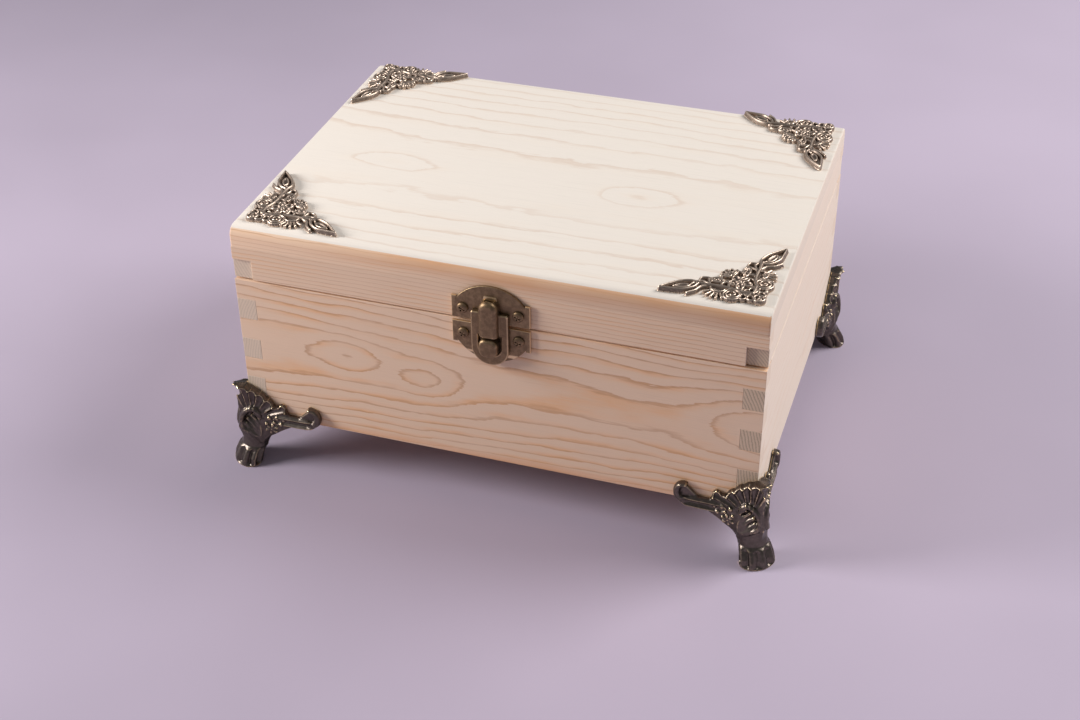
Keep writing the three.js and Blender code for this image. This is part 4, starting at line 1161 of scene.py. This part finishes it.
def flat_plate(name, outline, arris):
    """A plate with rounded edges in x and z, its back at y = 0 and its front towards -y."""
    data = bpy.data.curves.new(name, "CURVE")
    data.dimensions = "2D"
    data.fill_mode = "BOTH"
    data.extrude = (PLATE / 2 - arris) * MM
    data.bevel_depth = arris * MM
    data.bevel_resolution = 3
    data.offset = -arris * MM
    line = data.splines.new("POLY")
    line.points.add(len(outline) - 1)
    for point, (x, z) in zip(line.points, outline):
        point.co = (x * MM, z * MM, 0, 1)
    line.use_cyclic_u = True
    holder = linked(name, data)
    mesh = plain(holder)
    bpy.data.objects.remove(holder)
    form = bmesh.new()
    form.from_mesh(mesh)
    bpy.data.meshes.remove(mesh)
    bmesh.ops.remove_doubles(form, verts=form.verts, dist=TINY)
    form.transform(Matrix.Scale(1 / MM, 4) @ Matrix.Rotation(math.pi / 2, 4, "X"))
    bmesh.ops.translate(form, verts=form.verts, vec=(0, -PLATE / 2, 0))
    return form


def join(forms):
    """One bmesh of several."""
    whole = bmesh.new()
    for form in forms:
        mesh = bpy.data.meshes.new("piece")
        form.to_mesh(mesh)
        form.free()
        whole.from_mesh(mesh)
        bpy.data.meshes.remove(mesh)
    return whole


def rod(start, end, reach, sides=28):
    """A round bar with its ends eased."""
    start, end = Vector(start), Vector(end)
    form = bmesh.new()
    sizes = {"radius1": reach, "radius2": reach, "depth": (end - start).length}
    bmesh.ops.create_cone(form, cap_ends=True, segments=sides, **sizes)
    soften(form, 1, 0.25)
    turn = UP.rotation_difference((end - start).normalized()).to_matrix().to_4x4()
    form.transform(Matrix.Translation((start + end) / 2) @ turn)
    return form


def pin(node, inset, reach, brass, body):
    """A round pin in a CAD node's place, shorter by the inset at both its ends."""
    low, high = cad_box(node)
    centre = (low + high) / 2
    half = Vector(((high.x - low.x) / 2 - inset, 0, 0))
    stamped(node, "rod", rod(centre - half, centre + half, reach), None, brass, body)


# The lug round the pin in y and z, and the pad above it in x and z, from the pin's middle
LUG = [(0, -1.1), (-0.7, -0.6), (-0.85, 0.5), (-0.2, 1.0), (0.6, 0.85), (1.0, 0.1), (1.1, -0.15)]
LUG_WIDE = 3.0
LUG_ROOT = 0.6
PAD = [(-2.7, 0.9), (2.7, 0.9), (2.3, 2.6), (-2.3, 2.6)]
PAD_DEEP = 1.3
LUG_EDGE = 0.25

# The flap's sizes. Heights are measured up from its pin.
FLAP_HALF = 7.0
FLAP_LONG = 25.5
FLAP_THICK = 1.5
SHOULDER = -3.5
BAND = 2.7
WINDOW_LOW = -21.7
HOOD_HALF = 3.6
HOOD_OUT = 1.95
HOOD_END = -12.9
HOLLOW_HALF = 2.9
HOLLOW_END = -12.2
SLOT_HALF = 1.65
SLOT_REACH = 1.25


class BOX_OT_latch(bpy.types.Operator):
    """Makes the latch's plates, lug, flap, pin and knob"""

    bl_idname = "box.latch"
    bl_label = "Hasp latch"

    def execute(self, context):
        sizes = context.scene.box_latch
        self.plates(sizes, metal("antique_brass", "brass", 0.3, (0.51, 0.6), 0.6))
        cast = metal("cast_brass", "brass", 0.3, (0.006, 0.045), 0.6, cast=True)
        self.flap(sizes, cast)
        self.knob(sizes, cast)
        return {"FINISHED"}

    def crown(self, half, side, height):
        """A plate's outline: straight sides, a short step and a shallow arch."""
        step_in, step_down = 1.9, 0.7
        chord = half - step_in
        sagitta = height - side + step_down
        reach = (chord * chord + sagitta * sagitta) / (2 * sagitta)
        start = math.atan2(reach - sagitta, chord)
        edge = [(-half, 0), (half, 0), (half, side), (chord, side)]
        edge += arc((0, height - reach), reach, start, math.pi - start, 40)
        return edge + [(-chord, side), (-half, side)]

    def plates(self, sizes, brass):
        low, high = cad_box("latch_upper_plate")
        middle = (low.x + high.x) / 2
        half = (high.x - low.x) / 2
        plate = flat_plate("upper", self.crown(half, 9.1, high.z - low.z), sizes.arris)
        pin_low, pin_high = cad_box("latch_pin")
        stand = high.y - (pin_low.y + pin_high.y) / 2
        rise = (pin_low.z + pin_high.z) / 2 - low.z
        lug = [(LUG_ROOT, rise + LUG[0][1]), *((stand - y, rise + z) for y, z in LUG)]
        lug.append((LUG_ROOT, rise + LUG[-1][1]))
        tab = prism(lug[::-1], LUG_WIDE, LUG_EDGE)
        tab.transform(Matrix.Translation((-LUG_WIDE / 2, 0, 0)) @ Matrix.Rotation(-math.pi / 2, 4, "Z"))
        pad = prism([(x, rise + z) for x, z in PAD], -PAD_DEEP, LUG_EDGE)
        place = shift(middle, high.y, low.z)
        stamped("latch_upper_plate", "face", join([plate, tab, pad]), place, brass, "lid")
        low, high = cad_box("latch_lower_plate")
        outline = [(x, -z) for x, z in self.crown(half, 9.0, high.z - low.z)][::-1]
        form = flat_plate("lower", outline, sizes.arris)
        stamped("latch_lower_plate", "face", form, shift(middle, high.y, high.z), brass, "base")
        pin("latch_pin", 0.6, 0.6, brass, "lid")

    def flap(self, sizes, brass):
        """A round-ended sheet with a window, and a hollow hood slotted for the lug."""
        low, high = cad_box("latch_flap")
        pin_low, pin_high = cad_box("latch_pin")
        pivot = (pin_low + pin_high) / 2
        pivot.x = (low.x + high.x) / 2
        back = high.y - pivot.y
        casting = Casting((-7.6, -2.6, -26.1), (7.6, back + 0.6, 2.5), sizes.grain)
        x, y, z = casting.grid
        bowl = FLAP_HALF - np.hypot(x, np.minimum(z + FLAP_LONG - FLAP_HALF, 0))
        sheet = np.minimum(eased(FLAP_HALF - abs(x), SHOULDER - z, 0.8), bowl)
        window = FLAP_HALF - BAND
        hole = window - np.hypot(x, np.minimum(z - WINDOW_LOW - window, 0))
        sheet = np.minimum(sheet, -np.minimum(hole, HOOD_END - z))
        casting.add(np.minimum(eased(y - back + FLAP_THICK, sheet, 0.5), back - y))
        arch = HOOD_HALF - np.hypot(x, np.maximum(z + HOOD_HALF - HOOD_OUT, 0))
        hood = eased(eased(arch, y + HOOD_OUT, 1.9), z - HOOD_END, 0.9)
        hood = np.minimum(hood, np.where(z > 0, 1.97 - np.hypot(z, np.maximum(y, 0)), 9))
        casting.add(np.minimum(hood, back - y), 0.45)
        hollow = np.minimum(HOLLOW_HALF - abs(x), y + SLOT_REACH)
        casting.cut(least(hollow, SHOULDER - z, z - HOLLOW_END))
        slot = SLOT_HALF - abs(x)
        casting.cut(np.minimum(slot, SLOT_REACH - np.hypot(y, z)))
        casting.cut(least(slot, y, z + SLOT_REACH))
        casting.cut(y - back)
        mesh = casting.skin("flap", 1, 0.4)
        set_casting("latch_flap", mesh, shift(*pivot), brass, "flap", "antique_brass")

    def knob(self, sizes, brass):
        low, high = cad_box("latch_knob")
        centre = (low + high) / 2
        half_x, half_z = (high.x - low.x) / 2, (high.z - low.z) / 2
        start = (-half_x - 0.5, low.y - 0.5, -half_z - 0.5)
        casting = Casting(start, (half_x + 0.5, high.y, half_z + 0.5), sizes.grain)
        x, y, z = casting.grid
        side = eased(half_x - abs(x), half_z - abs(z), 2.4)
        crown = y - low.y - 0.35 * (x / half_x) ** 2 - 0.35 * (z / half_z) ** 2
        casting.add(np.minimum(eased(side, crown, 0.9), high.y - 1.3 - y))
        mesh, place = casting.skin("knob", 1, 0.4), shift(centre.x, 0, centre.z)
        set_casting("latch_knob", mesh, place, brass, "base", "antique_brass")


class BOX_OT_hinges(bpy.types.Operator):
    """Makes the two butt hinges at the back"""

    bl_idname = "box.hinges"
    bl_label = "Hinges"

    def execute(self, context):
        brass = metal("hinge_brass", "brass", 0.32, EDGE_WEAR, 0.6)
        for side in ("left", "right"):
            low, high = cad_box(f"hinge_{side}_pin")
            centre = (low + high) / 2
            half = (high.x - low.x) / 2
            gap, split = 0.1, half / 3
            middle = [(-split + gap, split - gap)]
            outer = [(-half, -split - gap), (split + gap, half)]
            self.leaf(f"hinge_{side}_lid_leaf", centre, half, middle, 1, "lid", brass)
            self.leaf(f"hinge_{side}_base_leaf", centre, half, outer, -1, "base", brass)
            pin(f"hinge_{side}_pin", 0, 0.9, brass, "base")
        return {"FINISHED"}

    def leaf(self, name, centre, half, knuckles, way, body, brass):
        """A plate with rounded corners, and its knuckles with the tongues behind them."""
        low, high = cad_box(name)
        tall = (high.z - centre.z) if way > 0 else (centre.z - low.z)
        corner, barrel, out = 0.8, 1.85, 1.9
        outline = [(-half, 2.3), (half, 2.3)]
        outline += arc((half - corner, tall - corner), corner, 0, math.pi / 2, 5)
        outline += arc((-half + corner, tall - corner), corner, math.pi / 2, math.pi, 5)
        forms = [flat_plate(name, [(x, z * way) for x, z in outline][::way], 0.15)]
        for start, end in knuckles:
            tongue = [(start, 0), (end, 0), (end, 2.5 * way), (start, 2.5 * way)]
            forms.append(prism(tongue[::way], -PLATE))
            forms.append(rod((start, -out, 0), (end, -out, 0), barrel, 32))
        place = Matrix.Translation((centre.x, low.y, centre.z)) @ Matrix.Diagonal((1, -1, 1, 1))
        stamped(name, "plate", join(forms), place, brass, body)


def screw_form(length):
    """A round-headed screw with a cross recess, pointing down from its head's seat. It is
    drawn in millimetres and comes out in metres."""
    form = bmesh.new()
    head, rise, rim, shank = 2.1, 1.05, 0.22, 0.8
    profile = [(shank, shank - length), (shank, 0.0), (head, 0.0), (head, rim)]
    profile += [polar((0, rim), step / 8 * math.pi / 2, head, rise - rim) for step in range(1, 8)]
    sides = 40
    rings = []
    for reach, z in profile:
        ring = arc((0, 0), reach, 0, 2 * math.pi, sides)[:-1]
        rings.append([form.verts.new((x, y, z)) for x, y in ring])
    for a, b in zip(rings, rings[1:]):
        for k in range(sides):
            form.faces.new((a[k], a[(k + 1) % sides], b[(k + 1) % sides], b[k]))
    tip = form.verts.new((0, 0, -length))
    crown = form.verts.new((0, 0, rise))
    for k in range(sides):
        form.faces.new((rings[0][(k + 1) % sides], rings[0][k], tip))
        form.faces.new((rings[-1][k], rings[-1][(k + 1) % sides], crown))
    bmesh.ops.recalc_face_normals(form, faces=form.faces)
    recess = bmesh.new()
    blade = Matrix.Translation((0, 0, rise - 0.1)) @ Matrix.Diagonal((2.5, 0.55, 1.1, 1))
    for turn in (0, math.pi / 2):
        bmesh.ops.create_cube(recess, size=1, matrix=Matrix.Rotation(turn, 4, "Z") @ blade)
    items = []
    for name, part in (("screw_blank", form), ("screw_recess", recess)):
        mesh = bpy.data.meshes.new(name)
        part.to_mesh(mesh)
        part.free()
        items.append(linked(name, mesh))
    cut = items[0].modifiers.new("recess", "BOOLEAN")
    cut.object = items[1]
    cut.solver = "EXACT"
    cut.use_self = True
    made = plain(items[0])
    for item in items:
        bpy.data.objects.remove(item)
    made.transform(Matrix.Scale(MM, 4))
    return made


def screw_tree(material):
    """Puts one screw on each point, turned the way that the point says."""
    tree = bpy.data.node_groups.new("Screws", "GeometryNodeTree")
    tree.interface.new_socket("Places", in_out="INPUT", socket_type="NodeSocketGeometry")
    tree.interface.new_socket("Screw", in_out="INPUT", socket_type="NodeSocketObject")
    tree.interface.new_socket("Screws", in_out="OUTPUT", socket_type="NodeSocketGeometry")
    add = tree.nodes.new
    start, end = add("NodeGroupInput"), add("NodeGroupOutput")
    info = add("GeometryNodeObjectInfo")
    aim = add("GeometryNodeInputNamedAttribute")
    aim.data_type = "FLOAT_VECTOR"
    aim.inputs["Name"].default_value = "aim"
    lay = add("GeometryNodeInstanceOnPoints")
    real = add("GeometryNodeRealizeInstances")
    paint = add("GeometryNodeSetMaterial")
    paint.inputs["Material"].default_value = material
    link = tree.links.new
    link(start.outputs["Screw"], info.inputs["Object"])
    link(start.outputs["Places"], lay.inputs["Points"])
    link(info.outputs["Geometry"], lay.inputs["Instance"])
    link(aim.outputs["Attribute"], lay.inputs["Rotation"])
    link(lay.outputs["Instances"], real.inputs["Geometry"])
    link(real.outputs["Geometry"], paint.inputs["Geometry"])
    link(paint.outputs["Geometry"], end.inputs["Screws"])
    return tree


class BOX_OT_screws(bpy.types.Operator):
    """Drives the screws of the latch, the hinges and the feet"""

    bl_idname = "box.screws"
    bl_label = "Screws"

    def execute(self, context):
        finish = metal("screw_brass", "brass", 0.32, EDGE_WEAR, 0.5)
        tree = screw_tree(finish)
        groups = {}
        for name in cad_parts:
            if "_screw_" not in name:
                continue
            body = "lid" if ("_lid_" in name or "upper" in name) else "base"
            kind = "foot" if name.startswith("foot") else "plate"
            groups.setdefault((body, kind), []).append(name)
        for (body, kind), names in sorted(groups.items()):
            self.drive(tree, finish, body, kind, sorted(names))
        return {"FINISHED"}

    def drive(self, tree, finish, body, kind, names):
        """Makes one group of screws, each with its head towards the outside."""
        length = 12.0 if kind == "foot" else 5.2
        template = linked("screw_template", screw_form(length))
        head = 1.1
        places, aims = [], []
        for at, name in enumerate(names):
            low, high = cad_box(name)
            tilt, spin = math.pi / 2, 0.6 + 1.7 * at
            if kind == "foot":
                tilt, spin = math.pi, -spin
            elif name.startswith("hinge"):
                tilt = -tilt
            aim = Matrix.Rotation(tilt, 3, "X") @ Matrix.Rotation(spin, 3, "Z")
            out = aim @ UP
            reach = abs(out.dot(high - low)) / 2 - head
            places.append(((low + high) / 2 + out * reach) * MM)
            aims += aim.to_euler()
        mesh = bpy.data.meshes.new("places")
        mesh.from_pydata(places, [], [])
        mesh.attributes.new("aim", "FLOAT_VECTOR", "POINT").data.foreach_set("vector", aims)
        holder = linked("places", mesh)
        grow = holder.modifiers.new("screws", "NODES")
        sockets = {item.name: item.identifier for item in tree.interface.items_tree}
        grow.node_group = tree
        grow[sockets["Screw"]] = template
        made = plain(holder)
        holder.modifiers.remove(grow)
        for item in (holder, template):
            bpy.data.objects.remove(item)
        finished(f"{body}_{kind}_screws", made, finish, body, names, "screw", SHARP)


class BOX_OT_stage(bpy.types.Operator):
    """Sets the floor, the lamps and the camera"""

    bl_idname = "box.stage"
    bl_label = "Floor, lamps and camera"

    def execute(self, context):
        look = context.scene.box_stage
        self.floor(look)
        self.lamps(context, look)
        self.camera(context, look)
        context.scene.view_settings.view_transform = "Standard"
        return {"FINISHED"}

    def floor(self, look):
        shade = Shade("floor")
        cloud = shade.specks(260.0, 3, 0.55)
        across, along, _ = shade.split(shade.place())
        # Painted light: the floor grows paler towards the window lamp at the right and back, a painted
        # pool of its light, mixed with the floor's own cloudy mottle; the paler colour is the lit end of
        # both
        painted_window_light = (across * 0.8 + along * 0.45).ramp(-300.0, 330.0)
        pale = tuple(min(1.0, 1.45 * c) for c in look.floor)
        tone = shade.mix(cloud.ramp(0.3, 0.75) * 0.3 + painted_window_light * 0.7, tuple(look.floor), pale)
        material = shade.finish(Base_Color=tone, Roughness=0.85, Specular_IOR_Level=0.2)
        form = bmesh.new()
        reach = 3000
        bmesh.ops.create_grid(form, x_segments=1, y_segments=1, size=reach)
        floor = linked("floor", to_mesh("floor", form))
        floor.data.materials.append(material)

    def lamps(self, context, look):
        world = bpy.data.worlds.new("room")
        context.scene.world = world
        world.use_nodes = True
        sky = world.node_tree.nodes["Background"].inputs
        sky["Color"].default_value = (0.93, 0.95, 1.0, 1)
        sky["Strength"].default_value = look.world
        self.lamp("window", (0.87, 0.5, 0.95), (0, 0, 0.05), 0.8, look.lamp, (1.0, 0.97, 0.94))
        at, to = (-0.7, -0.29, 0.38), (-0.03, -0.03, 0.05)
        self.lamp("left_fill", at, to, 0.34, look.lamp * 0.4, (1.0, 0.965, 0.945))

    def lamp(self, name, at, to, wide, power, tint):
        data = bpy.data.lights.new(name, "AREA")
        data.shape = "DISK"
        data.size = wide
        data.energy = power
        data.color = tint
        lamp = linked(name, data)
        lamp.location = at
        lamp.rotation_euler = (Vector(to) - Vector(at)).to_track_quat("-Z", "Y").to_euler()

    def camera(self, context, look):
        data = bpy.data.cameras.new("camera")
        data.lens = look.lens
        data.sensor_width = 36
        camera = linked("camera", data)
        camera.location = Vector((173.86, -538.88, 414.05)) * MM
        a, e, r = look.turn, look.rise, look.roll
        back = Vector((math.sin(a) * math.cos(e), -math.cos(a) * math.cos(e), math.sin(e)))
        right = UP.cross(back).normalized()
        up = back.cross(right)
        right2 = math.cos(r) * right + math.sin(r) * up
        up2 = -math.sin(r) * right + math.cos(r) * up
        camera.rotation_mode = "QUATERNION"
        camera.rotation_quaternion = Matrix((right2, up2, back)).transposed().to_quaternion()
        context.scene.camera = camera


class BOX_PT_panel(bpy.types.Panel):
    """Lists the box's pieces, in the sidebar"""

    bl_label = "Storage box"
    bl_idname = "BOX_PT_panel"
    bl_space_type = "VIEW_3D"
    bl_region_type = "UI"
    bl_category = "Storage box"

    def draw(self, context):
        for operator in OPERATORS:
            self.layout.operator(operator.bl_idname)
        for name in SETTINGS:
            group = getattr(context.scene, name)
            box = self.layout.box()
            for key in group.__annotations__:
                box.prop(group, key)


SETTINGS = {
    "box_wood": WoodSizes,
    "box_metal": MetalColours,
    "box_foot": FootSizes,
    "box_ornament": OrnamentSizes,
    "box_latch": LatchSizes,
    "box_stage": StageLook,
}
OPERATORS = (
    BOX_OT_body,
    BOX_OT_lid,
    BOX_OT_feet,
    BOX_OT_ornaments,
    BOX_OT_latch,
    BOX_OT_hinges,
    BOX_OT_screws,
    BOX_OT_stage,
)


def register():
    for kind in (*SETTINGS.values(), *OPERATORS, BOX_PT_panel):
        bpy.utils.register_class(kind)
    for name, kind in SETTINGS.items():
        setattr(bpy.types.Scene, name, PointerProperty(type=kind))


def unregister():
    for name in SETTINGS:
        delattr(bpy.types.Scene, name)
    for kind in reversed((*SETTINGS.values(), *OPERATORS, BOX_PT_panel)):
        bpy.utils.unregister_class(kind)


def main():
    register()
    for operator in OPERATORS:
        group, name = operator.bl_idname.split(".")
        getattr(getattr(bpy.ops, group), name)()


if __name__ == "__main__":
    main()
